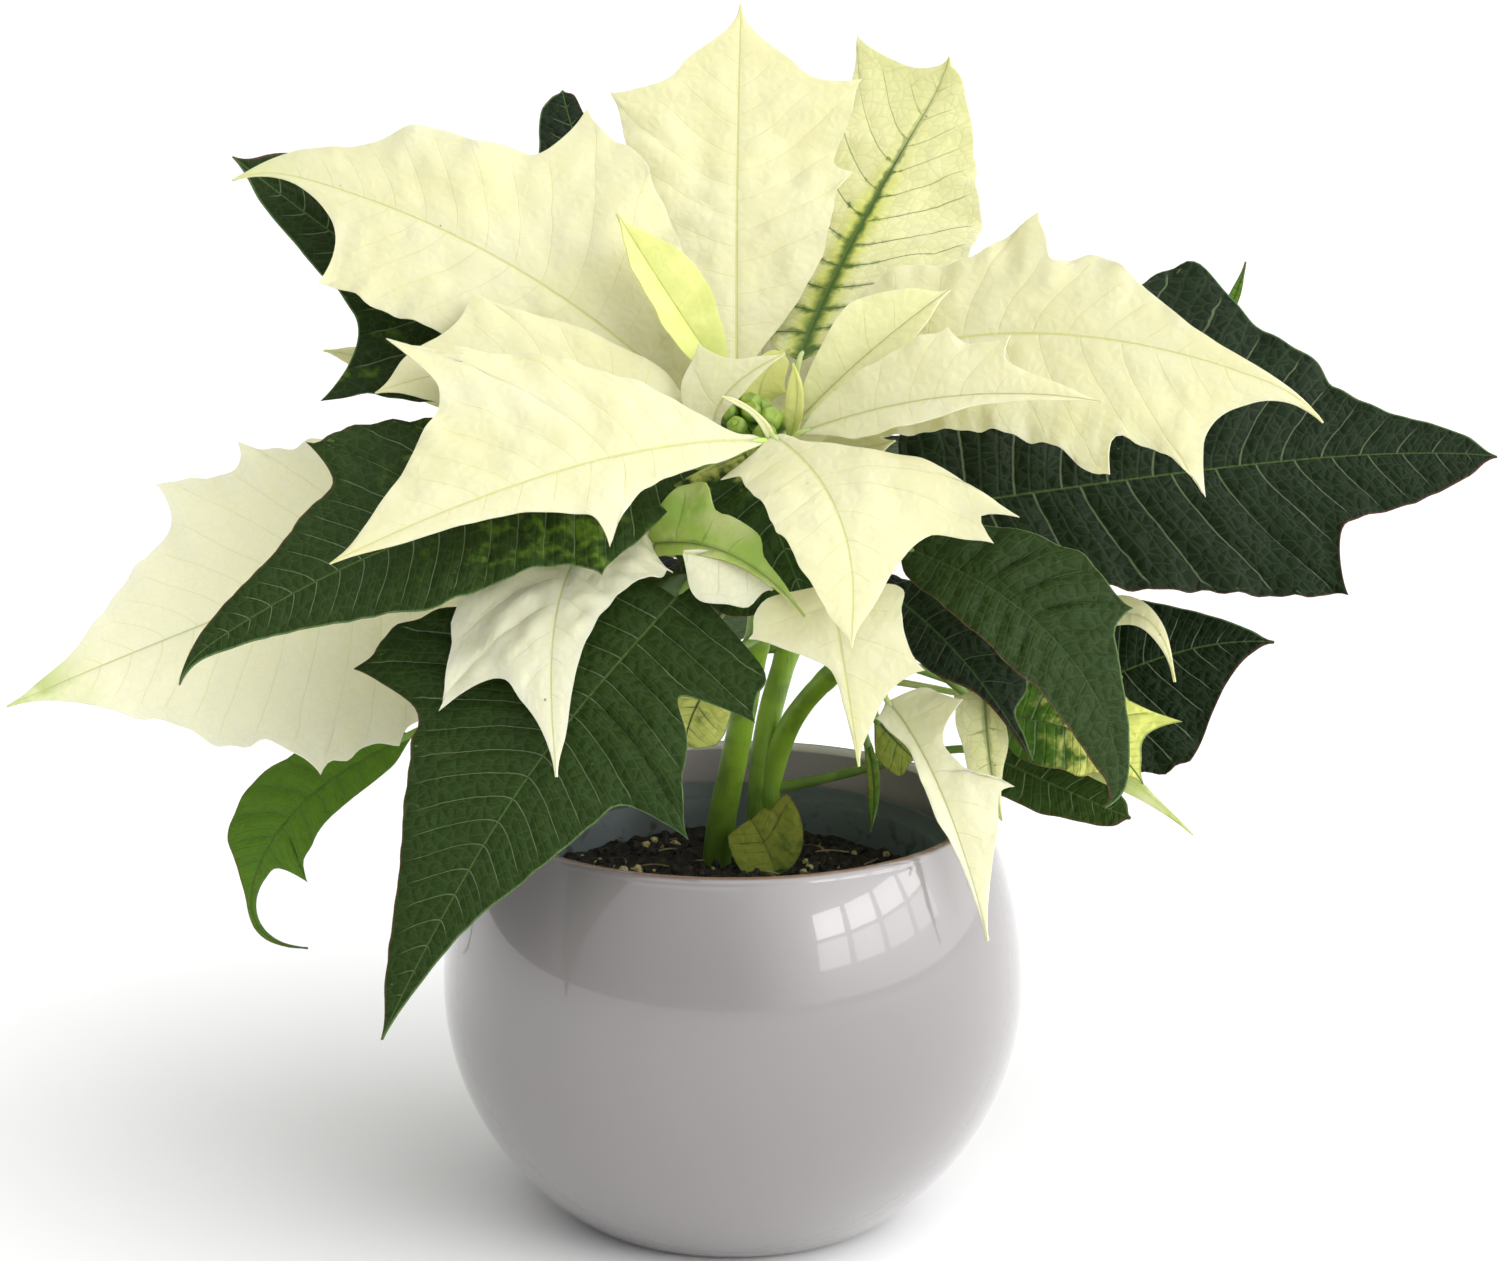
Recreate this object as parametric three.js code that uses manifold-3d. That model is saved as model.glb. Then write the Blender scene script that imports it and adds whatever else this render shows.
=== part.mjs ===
// A cream poinsettia in a glazed round cover pot. Millimetres, +Z up.
// Origin: the centre of the pot's flat foot. +X is the viewer's right and -Y faces the viewer.
import * as THREE from "three";
import { mergeVertices } from "three/addons/utils/BufferGeometryUtils.js";
import Module from "manifold-3d";

const wasm = await Module();
wasm.setup();

// ---------------------------------------------------------------- driving sizes
const CLEARANCE = 0.3; // gap between touching pieces

const POT_RADIUS = 75; // at the belly
const POT_BELLY_Z = 61.9;
const POT_FOOT_RADIUS = 40;
const POT_LOWER_HALF_HEIGHT = 73.4; // semi-axis of the ellipse below the belly
const POT_UPPER_HALF_HEIGHT = 87.1; // semi-axis of the ellipse above it
const POT_WALL = 4;
const POT_FLOOR = 5;
const POT_SEGMENTS = 40;
const LIP_RADIUS = 2; // round lip
const LIP_CENTRE = { r: 62.4, z: 106.2 };

const LINER_RIM = { r: 58, z: 98, height: 5 }; // plastic growing pot
const LINER_TOP_RADIUS = 55.5;
const LINER_FOOT_RADIUS = 38;
const LINER_WALL = 1.2;
const LINER_SEGMENTS = 36;
const SOIL_Z = 86;
const SOIL_RELIEF = 1.6;
const STEM_ROOT_Z = 62; // stems reach this far down in the soil
const STEM_TOP_Z = 201; // the front stem ends here, under the flowers
const STEM_SIDES = 8;
const STEM_STEPS = 10;

const BLADE_THICKNESS = 0.7;
const BRACT_STALK_RADIUS = 1.1;
const LEAF_STALK_RADIUS = 1.5;
const STALK_TAPER = 0.3; // share of its radius that a stalk loses on its way
const STALK_BOW = 0.35; // how far a stalk keeps its first direction, as a share of its length
const STALK_SIDES = 5;
const STALK_STEPS = 5;
const FLAT = new THREE.Vector3(1, 1, 0.4); // a stalk leaves the stem flatter than it ends

// ---------------------------------------------------------------- finishes
const finish = (color, roughness) => new THREE.MeshStandardMaterial({ color, roughness, metalness: 0 });
const GLAZE = finish(0xc9c4c2, 0.12);
const LINER = finish(0x55636a, 0.5);
const SOIL = finish(0x2b211b, 1);
const STEM = finish(0x5f8f3c, 0.45);
const BUD = finish(0x7f9f3e, 0.4);
const BRACT = finish(0xf3f0cc, 0.55);
const YOUNG_BRACT = finish(0xeef0a0, 0.55);
const FOLIAGE = finish(0x24402c, 0.5);
const MOTTLED = finish(0x86a548, 0.5);

// ---------------------------------------------------------------- meshes and solids
const group = new THREE.Group();
group.name = "poinsettia";

function add(name, geometry, material) {
  const mesh = new THREE.Mesh(geometry, material);
  mesh.name = name;
  group.add(mesh);
}

/** A closed BufferGeometry as a manifold solid. */
function solid(geometry) {
  const bare = geometry.clone();
  bare.deleteAttribute("normal");
  bare.deleteAttribute("uv");
  const merged = mergeVertices(bare, 1e-4);
  const triVerts = [];
  const index = merged.index.array;
  for (let i = 0; i < index.length; i += 3) {
    const [a, b, c] = [index[i], index[i + 1], index[i + 2]];
    if (a !== b && b !== c && c !== a) triVerts.push(a, b, c);
  }
  return new wasm.Manifold(
    new wasm.Mesh({
      numProp: 3,
      vertProperties: new Float32Array(merged.attributes.position.array),
      triVerts: new Uint32Array(triVerts),
    }),
  );
}

/** A manifold solid as a BufferGeometry. */
function geometryOf(manifold) {
  const mesh = manifold.getMesh();
  const geometry = new THREE.BufferGeometry();
  geometry.setAttribute("position", new THREE.BufferAttribute(new Float32Array(mesh.vertProperties), 3));
  geometry.setIndex(new THREE.BufferAttribute(new Uint32Array(mesh.triVerts), 1));
  geometry.computeVertexNormals();
  return geometry;
}

/** The largest piece of a cut solid. */
function largest(manifold) {
  return manifold.decompose().reduce((best, piece) => (piece.volume() > best.volume() ? piece : best));
}

function meshFrom(points, index) {
  const geometry = new THREE.BufferGeometry().setFromPoints(points);
  geometry.setIndex(index);
  return geometry;
}

/** A closed round bar along a curve; radius is a function of the way along it, 0 to 1. */
function bar(curve, radius, sides, steps) {
  const points = [];
  const index = [];
  const across = Math.abs(curve.getTangent(0).x) < 0.7 ? new THREE.Vector3(1, 0, 0) : new THREE.Vector3(0, 1, 0);
  for (let i = 0; i <= steps; i += 1) {
    const t = i / steps;
    const centre = curve.getPoint(t);
    const along = curve.getTangent(t);
    across.addScaledVector(along, -across.dot(along)).normalize();
    const third = new THREE.Vector3().crossVectors(along, across);
    for (let k = 0; k < sides; k += 1) {
      const angle = (2 * Math.PI * k) / sides;
      const point = centre.clone().addScaledVector(across, radius(t) * Math.cos(angle));
      points.push(point.addScaledVector(third, radius(t) * Math.sin(angle)));
    }
  }
  for (let i = 0; i < steps; i += 1) {
    for (let k = 0; k < sides; k += 1) {
      const [a, b] = [i * sides + k, i * sides + ((k + 1) % sides)];
      index.push(a, b, b + sides, a, b + sides, a + sides);
    }
  }
  for (let k = 1; k < sides - 1; k += 1) {
    const end = steps * sides;
    index.push(0, k + 1, k, end, end + k, end + k + 1);
  }
  return meshFrom(points, index);
}

/** A turned solid from [radius, z] pairs that start and end on the axis, bottom first. */
function turned(profile, segments) {
  const lathe = new THREE.LatheGeometry(profile.map(([r, z]) => new THREE.Vector2(r, z)), segments);
  return lathe.rotateX(Math.PI / 2);
}

// ---------------------------------------------------------------- pot
/** Outer radius of the cover pot at a height. */
function potRadius(z) {
  const half = z < POT_BELLY_Z ? POT_LOWER_HALF_HEIGHT : POT_UPPER_HALF_HEIGHT;
  return POT_RADIUS * Math.sqrt(1 - ((z - POT_BELLY_Z) / half) ** 2);
}

function coverPot() {
  const OUTSIDE_STEPS = 12;
  const LIP_STEPS = 4;
  const INSIDE_STEPS = 8;
  const outside = [];
  for (let i = 0; i <= OUTSIDE_STEPS; i += 1) {
    const z = (LIP_CENTRE.z * i) / OUTSIDE_STEPS;
    outside.push([i === 0 ? POT_FOOT_RADIUS : potRadius(z), z]);
  }
  const lip = [];
  for (let i = 1; i < LIP_STEPS; i += 1) {
    const angle = (Math.PI * i) / LIP_STEPS;
    lip.push([LIP_CENTRE.r + LIP_RADIUS * Math.cos(angle), LIP_CENTRE.z + LIP_RADIUS * Math.sin(angle)]);
  }
  const inside = [];
  for (let i = 0; i <= INSIDE_STEPS; i += 1) {
    const z = LIP_CENTRE.z + ((POT_FLOOR - LIP_CENTRE.z) * i) / INSIDE_STEPS;
    inside.push([potRadius(z) - POT_WALL, z]);
  }
  return turned([[0, 0], ...outside, ...lip, ...inside, [0, POT_FLOOR]], POT_SEGMENTS);
}

const LINER_FLOOR_Z = POT_FLOOR + CLEARANCE;
const LINER_SHOULDER_Z = LINER_RIM.z - LINER_RIM.height;

/** Outer radius of the growing pot's wall at a height. */
function linerRadius(z) {
  return THREE.MathUtils.mapLinear(z, LINER_FLOOR_Z, LINER_SHOULDER_Z, LINER_FOOT_RADIUS, LINER_TOP_RADIUS);
}

function growingPot() {
  const rimInside = LINER_RIM.r - LINER_WALL;
  return turned(
    [
      [0, LINER_FLOOR_Z],
      [LINER_FOOT_RADIUS, LINER_FLOOR_Z],
      [LINER_TOP_RADIUS, LINER_SHOULDER_Z],
      [LINER_RIM.r, LINER_SHOULDER_Z],
      [LINER_RIM.r, LINER_RIM.z],
      [rimInside, LINER_RIM.z],
      [rimInside, LINER_SHOULDER_Z + LINER_WALL],
      [LINER_TOP_RADIUS - LINER_WALL, LINER_SHOULDER_Z + LINER_WALL / 2],
      [linerRadius(SOIL_Z) - LINER_WALL, SOIL_Z],
      [LINER_FOOT_RADIUS - LINER_WALL, LINER_FLOOR_Z + LINER_WALL],
      [0, LINER_FLOOR_Z + LINER_WALL],
    ],
    LINER_SEGMENTS,
  );
}

/** Low humps of the soil: two crossed waves, none at the wall. */
function soilHump(x, y) {
  const calm = 1 - ((x * x + y * y) / linerRadius(SOIL_Z) ** 2) ** 2;
  return SOIL_RELIEF * calm * (Math.sin(x / 7 + 1) * Math.cos(y / 9) + 0.5 * Math.sin((x + y) / 4));
}

function pottingSoil(stems) {
  const bottom = LINER_FLOOR_Z + LINER_WALL + CLEARANCE;
  const edge = (z) => linerRadius(z) - LINER_WALL - CLEARANCE;
  const rings = [1, 0.8, 0.6, 0.4, 0.2, 0].map((k) => [k * edge(SOIL_Z), SOIL_Z]);
  const geometry = turned([[0, bottom], [edge(bottom), bottom], ...rings], LINER_SEGMENTS);
  const place = geometry.attributes.position;
  for (let i = 0; i < place.count; i += 1) {
    const [x, y, z] = [place.getX(i), place.getY(i), place.getZ(i)];
    if (z > SOIL_Z - 1) place.setZ(i, z + soilHump(x, y));
  }
  return stems.reduce((soil, stem) => soil.subtract(stem), solid(geometry));
}

// ---------------------------------------------------------------- stems
const STEMS = {
  front: {
    route: [[-4, 24, STEM_ROOT_Z], [-4, 23, 90], [2, 16, 125], [8, 6, 165], [7, 1, STEM_TOP_Z]],
    thick: 4.1,
    thin: 2.8,
  },
  back: {
    route: [[7, 30, STEM_ROOT_Z], [7, 30, 95], [9, 34, 120], [20, 44, 160], [21, 48, 188]],
    thick: 4,
    thin: 2.4,
  },
  right: {
    route: [[7.5, 31, 98], [15, 29, 122], [30, 16, 143], [44, 2, 156]], // forks from the back stem
    thick: 3.2,
    thin: 2.2,
  },
};
for (const stem of Object.values(STEMS)) {
  stem.curve = new THREE.CatmullRomCurve3(stem.route.map((p) => new THREE.Vector3(...p)));
}

function stemBar(stem, extra = 0) {
  const radius = (t) => stem.thick + (stem.thin - stem.thick) * t + extra;
  return solid(bar(stem.curve, radius, STEM_SIDES, STEM_STEPS));
}

/** The point on a stem's centre line at a height. */
function stemPoint(stem, z) {
  const samples = stem.curve.getPoints(100);
  return samples.reduce((best, p) => (Math.abs(p.z - z) < Math.abs(best.z - z) ? p : best));
}

// ---------------------------------------------------------------- blades
// A blade hangs on its midrib, the rib: three to five points from the base to the tip, evenly spread.
// Side veins leave the rib at a share u of its length, swept forward by sweep(u), and end on the margin.
// margin rows are [u, left reach, right reach]: how long the side veins are there, looking from the
// base to the tip with the upper face up. A longer row between two shorter ones is a pointed lobe.
// faces is where the upper face looks. fold lifts both halves by that many degrees, cup curls them up.
// stem and at say which stem the stalk leaves, and at what height. out is the way it leaves it, and
// without one it heads for the blade.

const sweep = (u) => THREE.MathUtils.degToRad(40 + 50 * (1 - u) ** 2);

/** The polynomial through evenly spread points, at t. */
function through(points, t) {
  const last = points.length - 1;
  const sum = new THREE.Vector3();
  points.forEach((p, i) => {
    let weight = 1;
    points.forEach((_, j) => {
      if (j !== i) weight *= (t * last - j) / (i - j);
    });
    sum.addScaledVector(new THREE.Vector3(...p), weight);
  });
  return sum;
}

function ribLength(rib) {
  const STEPS = 32;
  let length = 0;
  for (let i = 0; i < STEPS; i += 1) {
    length += through(rib, i / STEPS).distanceTo(through(rib, (i + 1) / STEPS));
  }
  return length;
}

/** Place of a flat blade point (x along the rib, y to its left) on the bent blade. */
function bladePoint(leaf, length, x, y) {
  const STEP = 1e-3;
  const t = x / length;
  const along = through(leaf.rib, t + STEP).sub(through(leaf.rib, t - STEP)).normalize();
  const up = new THREE.Vector3(...leaf.faces).normalize();
  if (leaf.tipFaces) up.lerp(new THREE.Vector3(...leaf.tipFaces).normalize(), t);
  up.addScaledVector(along, -up.dot(along)).normalize();
  const left = new THREE.Vector3().crossVectors(up, along);
  const fold = THREE.MathUtils.degToRad(leaf.fold ?? 0);
  const rise = Math.abs(y) * Math.sin(fold) + ((leaf.cup ?? 0) * y * y) / length;
  return through(leaf.rib, t).addScaledVector(left, y * Math.cos(fold)).addScaledVector(up, rise);
}

/** One closed blade: its middle surface, moved half the thickness to each side, and a rim. */
function blade(leaf) {
  const ACROSS = leaf.small ? [1, 0, -1] : [1, 0.5, 0, -0.5, -1];
  const length = ribLength(leaf.rib);
  const middle = [];
  const rows = [];
  const put = (x, y) => middle.push(bladePoint(leaf, length, x, y)) - 1;
  rows.push(ACROSS.map(() => 0));
  put(0, 0);
  for (const [u, leftReach, rightReach] of leaf.margin) {
    const row = ACROSS.map((share) => {
      const reach = share > 0 ? leftReach : rightReach;
      const vein = Math.abs(share) * reach;
      return put(length * u + vein * Math.cos(sweep(u)), Math.sign(share) * vein * Math.sin(sweep(u)));
    });
    rows.push(row);
  }
  const tip = put(length, 0);
  rows.push(ACROSS.map(() => tip));

  const faces = [];
  const face = (a, b, c) => {
    if (a !== b && b !== c && c !== a) faces.push(a, b, c);
  };
  for (let i = 0; i + 1 < rows.length; i += 1) {
    for (let k = 0; k + 1 < ACROSS.length; k += 1) {
      const [a, b, c, d] = [rows[i][k], rows[i][k + 1], rows[i + 1][k + 1], rows[i + 1][k]];
      if (ACROSS[k] > 0) {
        face(a, b, c);
        face(a, c, d);
      } else {
        face(a, b, d);
        face(b, c, d);
      }
    }
  }
  const surface = meshFrom(middle, faces);
  surface.computeVertexNormals();
  const normals = surface.attributes.normal;
  const side = (shift) => {
    const normal = new THREE.Vector3();
    return middle.map((p, i) => p.clone().addScaledVector(normal.fromBufferAttribute(normals, i), shift));
  };
  const under = middle.length;
  const index = [...faces];
  for (let i = 0; i < faces.length; i += 3) {
    index.push(faces[i] + under, faces[i + 2] + under, faces[i + 1] + under);
  }
  const last = ACROSS.length - 1;
  const inner = rows.slice(1, -1);
  const outline = [0, ...inner.map((row) => row[last]), tip, ...inner.map((row) => row[0]).reverse()];
  outline.forEach((a, i) => {
    const b = outline[(i + 1) % outline.length];
    index.push(b, a, a + under, b, a + under, b + under);
  });
  return meshFrom([...side(BLADE_THICKNESS / 2), ...side(-BLADE_THICKNESS / 2)], index);
}

/** The stalk: out of the stem, round to the blade's base, and a little way on under the midrib. */
function stalk(leaf) {
  const start = stemPoint(STEMS[leaf.stem], leaf.at);
  const base = through(leaf.rib, 0);
  const along = through(leaf.rib, 0.02).sub(base).normalize();
  const reach = start.distanceTo(base) * STALK_BOW;
  const out = leaf.out ? new THREE.Vector3(...leaf.out) : base.clone().sub(start).multiply(FLAT);
  out.normalize();
  const bend = new THREE.CubicBezierCurve3(
    start,
    start.clone().addScaledVector(out, reach),
    base.clone().addScaledVector(along, -reach / 2),
    base,
  );
  const route = [...bend.getPoints(STALK_STEPS - 1), through(leaf.rib, 0.05)];
  const thick = leaf.stalk ?? (leaf.green ? LEAF_STALK_RADIUS : BRACT_STALK_RADIUS);
  const radius = (t) => thick * (1 - STALK_TAPER * t);
  return bar(new THREE.CatmullRomCurve3(route), radius, STALK_SIDES, STALK_STEPS);
}

// ---------------------------------------------------------------- the leaves, one by one
const LEAVES = [
  // the crown's large cream bracts
  {
    name: "bract_upper_left", stem: "front", at: 191.5, faces: [0.05, -0.8, 0.6],
    rib: [[-11, 4, 213], [-64, 16, 250], [-127, 30, 270]],
    margin: [
      [0.05, 6, 14], [0.15, 14, 31], [0.23, 20, 47], [0.3, 25, 54], [0.36, 29, 38], [0.57, 37, 27],
      [0.66, 19, 21], [0.82, 5, 12],
    ],
  },
  {
    name: "bract_top", stem: "front", at: 195.5, faces: [0, -0.67, 0.74], out: [-0.2, 1, 0.3],
    rib: [[1, 12, 218], [1, 44, 261], [2, 76, 306]],
    margin: [
      [0.07, 4, 7], [0.22, 12, 22], [0.39, 30, 35], [0.43, 35, 30], [0.51, 43, 38], [0.55, 36, 43],
      [0.62, 27, 29], [0.73, 19, 19], [0.9, 5, 5],
    ],
  },
  {
    name: "bract_variegated", stem: "front", at: 189, faces: [-0.3, -0.75, 0.6],
    rib: [[17, 14, 222], [33, 52, 250], [59, 86, 289]],
    margin: [
      [0.06, 5, 15], [0.18, 10, 26], [0.33, 17, 37], [0.57, 27, 29], [0.71, 42, 22], [0.82, 20, 14],
      [0.91, 8, 8],
    ],
  },
  {
    name: "bract_right", stem: "front", at: 184.5, faces: [0.1, -0.8, 0.6],
    rib: [[21, 4, 219], [81, -8, 232], [147, -24, 216]],
    margin: [
      [0.07, 14, 20], [0.16, 23, 25], [0.28, 22, 30], [0.31, 38, 31], [0.38, 24, 36], [0.46, 25, 47],
      [0.5, 24, 34], [0.62, 15, 48], [0.67, 12, 29], [0.8, 6, 12],
    ],
  },
  {
    name: "bract_front_left", stem: "front", at: 189.1, faces: [-0.1, -0.75, 0.66], out: [-0.7, -1, 0.1],
    rib: [[1, -16, 207], [-41, -42, 205], [-95, -66, 187]],
    margin: [
      [0.03, 4, 2], [0.14, 6, 17], [0.26, 10, 36], [0.34, 29, 50], [0.385, 19, 62], [0.43, 16, 42],
      [0.59, 10, 27], [0.84, 5, 9],
    ],
  },
  {
    name: "bract_mid_left", stem: "front", at: 188.7, faces: [-0.05, -0.8, 0.6],
    rib: [[-11, -4, 212], [-48, -9, 224], [-88, -17, 219]],
    margin: [[0.1, 8, 7], [0.28, 16, 12], [0.48, 19, 27], [0.62, 15, 16], [0.78, 9, 11]],
  },
  {
    name: "bract_mid_right", stem: "front", at: 191, faces: [0.1, -0.75, 0.66], fold: 15,
    rib: [[17, -12, 208], [53, -28, 220], [89, -40, 221]],
    margin: [
      [0.08, 7, 3], [0.18, 10, 9], [0.36, 21, 12], [0.44, 17, 12], [0.52, 20, 11], [0.65, 11, 8],
      [0.84, 4, 4],
    ],
  },
  {
    name: "bract_front", stem: "front", at: 195.7, faces: [0.1, -0.85, 0.5], out: [1, -1, 0],
    rib: [[10, -16, 208], [21, -34, 201], [28, -50, 187], [28, -60, 165]],
    margin: [
      [0.03, 2, 17], [0.12, 4, 17], [0.22, 14, 16], [0.28, 32, 17], [0.33, 49, 18], [0.37, 40, 19],
      [0.43, 27, 21], [0.58, 16, 18], [0.8, 7, 9],
    ],
  },
  {
    name: "bract_front_strip", stem: "front", at: 199, faces: [0.1, -0.85, 0.5], small: true, stalk: 0.7,
    rib: [[7, -13, 205], [3, -13, 213], [-4, -15, 219]],
    margin: [[0.3, 2.5, 2], [0.8, 1.5, 1.5]],
  },
  // the small young bracts round the flowers
  {
    name: "bract_inner_left", stem: "front", at: 194.2, faces: [0.5, -0.75, 0.4], fold: 20, young: true,
    rib: [[-2, 3, 219], [-16, 3, 240], [-29, 8, 260]],
    margin: [[0.15, 6, 6], [0.4, 8, 10], [0.72, 5, 6]],
  },
  {
    name: "bract_inner_right", stem: "front", at: 193, faces: [-0.3, -0.8, 0.5], fold: 20, young: true,
    rib: [[17, -4, 210], [34, -6, 227], [54, -6, 243]],
    margin: [[0.15, 6, 5], [0.4, 12, 9], [0.7, 8, 6]],
  },
  {
    name: "bract_inner_front", stem: "front", at: 197.5, faces: [0, -0.85, 0.5], small: true, stalk: 0.7,
    rib: [[-5, -8, 206], [-1, -10, 218], [13, -13, 228]],
    margin: [[0.08, 3, 3], [0.2, 10, 5], [0.33, 15, 5], [0.5, 8, 4], [0.8, 3, 2]],
  },
  {
    name: "bract_inner_back", stem: "front", at: 199.5,
    faces: [0, -0.85, 0.5], small: true, stalk: 0.7, young: true,
    rib: [[8, 8, 207], [7, 8, 216], [13, 10, 225]],
    margin: [[0.35, 6, 8], [0.75, 4, 5]],
  },
  {
    name: "bract_sliver", stem: "front", at: 197.8,
    faces: [-0.3, -0.85, 0.3], small: true, stalk: 0.7, young: true,
    rib: [[14, -7, 205], [16, -9, 216], [15, -9, 225]],
    margin: [[0.2, 3, 2], [0.6, 3, 2]],
  },
  {
    name: "bract_inner_low", stem: "front", at: 181.5, faces: [0, -0.8, 0.6], small: true,
    rib: [[17, -8, 201], [29, -16, 204], [40, -22, 208]],
    margin: [[0.22, 5, 8], [0.6, 5, 6]],
  },
  // pale bracts that hang below the crown
  {
    name: "bract_low_front", stem: "front", at: 177, faces: [0.1, -0.9, 0.4], out: [1, -1, -0.2],
    rib: [[24, -36, 175], [27, -44, 158], [31, -48, 132]],
    margin: [[0.04, 16, 16], [0.17, 17, 23], [0.27, 18, 15], [0.37, 23, 9], [0.5, 14, 4], [0.72, 7, 2]],
  },
  {
    name: "bract_low_left", stem: "front", at: 177.5, faces: [-0.2, -0.75, 0.62],
    rib: [[-11, -11, 191], [-31, -31, 179], [-41, -56, 163], [-42, -73, 136]],
    margin: [
      [0.12, 7, 8], [0.24, 14, 13], [0.38, 13, 28], [0.48, 12, 33], [0.57, 10, 37], [0.62, 9, 20],
      [0.74, 7, 11], [0.87, 5, 4],
    ],
  },
  {
    name: "bract_twisted", stem: "front", at: 171, faces: [0.1, -0.9, 0.4],
    rib: [[-17, -19, 180], [-4, -30, 181], [9, -43, 178], [17, -49, 170]],
    margin: [[0.08, 11, 4], [0.2, 14, 9], [0.3, 9, 14], [0.45, 11, 12], [0.7, 4, 8]],
  },
  {
    name: "bract_far_left", stem: "back", at: 172, faces: [-0.15, -0.7, 0.7],
    rib: [[-54, 44, 178], [-122, 27, 156], [-186, 2, 134]],
    margin: [
      [0.08, 18, 22], [0.18, 30, 40], [0.27, 50, 55], [0.34, 57, 50], [0.39, 54, 57], [0.44, 42, 40],
      [0.6, 30, 25], [0.8, 10, 10],
    ],
  },
  // pale bracts of the right side shoot
  {
    name: "bract_hanging", stem: "right", at: 153, faces: [0.1, -0.9, 0.4],
    rib: [[39, -16, 140], [48, -30, 129], [56, -44, 112], [63, -50, 88]],
    margin: [
      [0.06, 10, 6], [0.15, 16, 4], [0.25, 7, 2], [0.36, 8, 2], [0.5, 15, 5], [0.62, 11, 3], [0.8, 5, 1.5],
    ],
  },
  {
    name: "bract_striped", stem: "right", at: 155, faces: [0.1, -0.9, 0.4],
    rib: [[64, -6, 141], [65, -14, 124], [68, -20, 110]],
    margin: [[0.04, 4, 8], [0.17, 5, 8], [0.3, 6, 7], [0.5, 4, 7], [0.75, 2, 5]],
  },
  {
    name: "bract_curled", stem: "right", at: 147.5, faces: [0.1, -0.9, 0.4], small: true,
    rib: [[88, 8, 152], [104, 0, 158], [112, -8, 143]],
    margin: [[0.2, 5, 3], [0.6, 3, 3]],
  },
  {
    name: "bract_strip", stem: "right", at: 138, faces: [0.2, -0.9, 0.4], small: true,
    rib: [[69, 10, 132], [96, 4, 118], [118, -6, 102]],
    margin: [[0.15, 4, 4], [0.4, 5, 6], [0.7, 2, 3]],
  },
  {
    name: "leaf_yellow_right", stem: "right", at: 151, faces: [0.1, -0.9, 0.4], mottled: true,
    rib: [[67, 8, 131], [84, 4, 128], [96, 0, 124], [105, -4, 115]],
    margin: [[0.1, 10, 10], [0.24, 15, 12], [0.34, 20, 12], [0.52, 21, 11], [0.6, 13, 9], [0.8, 5, 5]],
  },
  // green leaves
  {
    name: "leaf_left", stem: "front", at: 184.8, faces: [-0.1, -0.75, 0.66], green: true,
    rib: [[-3, -9, 199], [-77, -38, 187], [-136, -52, 156]],
    margin: [
      [0.05, 11, 4], [0.12, 14, 12], [0.19, 24, 22], [0.29, 18, 33], [0.36, 20, 42], [0.44, 21, 48],
      [0.49, 20, 29], [0.64, 14, 18], [0.83, 5, 9],
    ],
  },
  {
    name: "leaf_mottled", stem: "front", at: 172.6, faces: [0.1, -0.9, 0.4], green: true, mottled: true,
    rib: [[5, -10, 194], [9, -16, 182], [15, -21, 166]],
    margin: [[0.05, 6, 9], [0.18, 7, 12], [0.4, 8, 8], [0.66, 7, 6]],
  },
  {
    name: "leaf_upper_left", stem: "front", at: 171, faces: [-0.05, -0.75, 0.66], green: true,
    rib: [[-21, 14, 210], [-73, 30, 232], [-129, 42, 270]],
    margin: [
      [0.09, 17, 12], [0.2, 22, 23], [0.32, 27, 28], [0.4, 47, 31], [0.48, 27, 35], [0.58, 18, 38],
      [0.7, 14, 28], [0.86, 8, 14],
    ],
  },
  {
    name: "leaf_dark_tip", stem: "front", at: 193, faces: [0.1, -0.8, 0.6], green: true,
    rib: [[-10, 26, 214], [-33, 62, 250], [-46, 88, 282]],
    margin: [[0.12, 12, 12], [0.3, 22, 18], [0.5, 18, 14], [0.68, 14, 10], [0.86, 5, 4]],
  },
  {
    name: "leaf_right", stem: "front", at: 170, faces: [0.1, -0.75, 0.66], green: true,
    rib: [[44, 8, 184], [102, 18, 190], [154, 22, 195], [196, 18, 196]],
    margin: [
      [0.05, 20, 14], [0.17, 43, 28], [0.26, 60, 36], [0.3, 69, 38], [0.36, 52, 43], [0.47, 36, 50],
      [0.54, 29, 27], [0.7, 18, 22], [0.88, 9, 11],
    ],
  },
  {
    name: "leaf_front_right", stem: "front", at: 166, faces: [0.25, -0.85, 0.45], green: true,
    rib: [[42, -16, 180], [68, -32, 170], [88, -42, 150], [95, -48, 120]],
    margin: [
      [0.05, 8, 7], [0.17, 17, 11], [0.29, 24, 14], [0.41, 26, 16], [0.55, 13, 15], [0.75, 7, 11],
      [0.91, 3, 4],
    ],
  },
  {
    name: "leaf_dark_right", stem: "front", at: 162, faces: [0.2, -0.85, 0.4], green: true,
    rib: [[38, -2, 166], [58, -8, 149], [76, -14, 124]],
    margin: [[0.12, 9, 7], [0.35, 17, 10], [0.6, 13, 4], [0.85, 4, 1.5]],
  },
  {
    name: "leaf_far_right", stem: "right", at: 144.5, faces: [0.1, -0.8, 0.6], green: true,
    rib: [[80, 26, 129], [101, 28, 136], [120, 30, 142], [142, 30, 144]],
    margin: [[0.04, 9, 17], [0.16, 18, 29], [0.28, 22, 32], [0.46, 17, 24], [0.7, 10, 12], [0.86, 5, 5]],
  },
  {
    name: "leaf_low_right", stem: "right", at: 104, faces: [0.05, -0.8, 0.6], green: true, out: [1, 0, 0.1],
    rib: [[66, 26, 115], [87, 22, 106], [104, 16, 100]],
    margin: [[0.1, 9, 10], [0.3, 11, 10], [0.5, 10, 9], [0.8, 6, 6]],
  },
  {
    name: "leaf_low_front", stem: "front", at: 160, faces: [-0.3, -0.85, 0.4], green: true,
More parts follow.
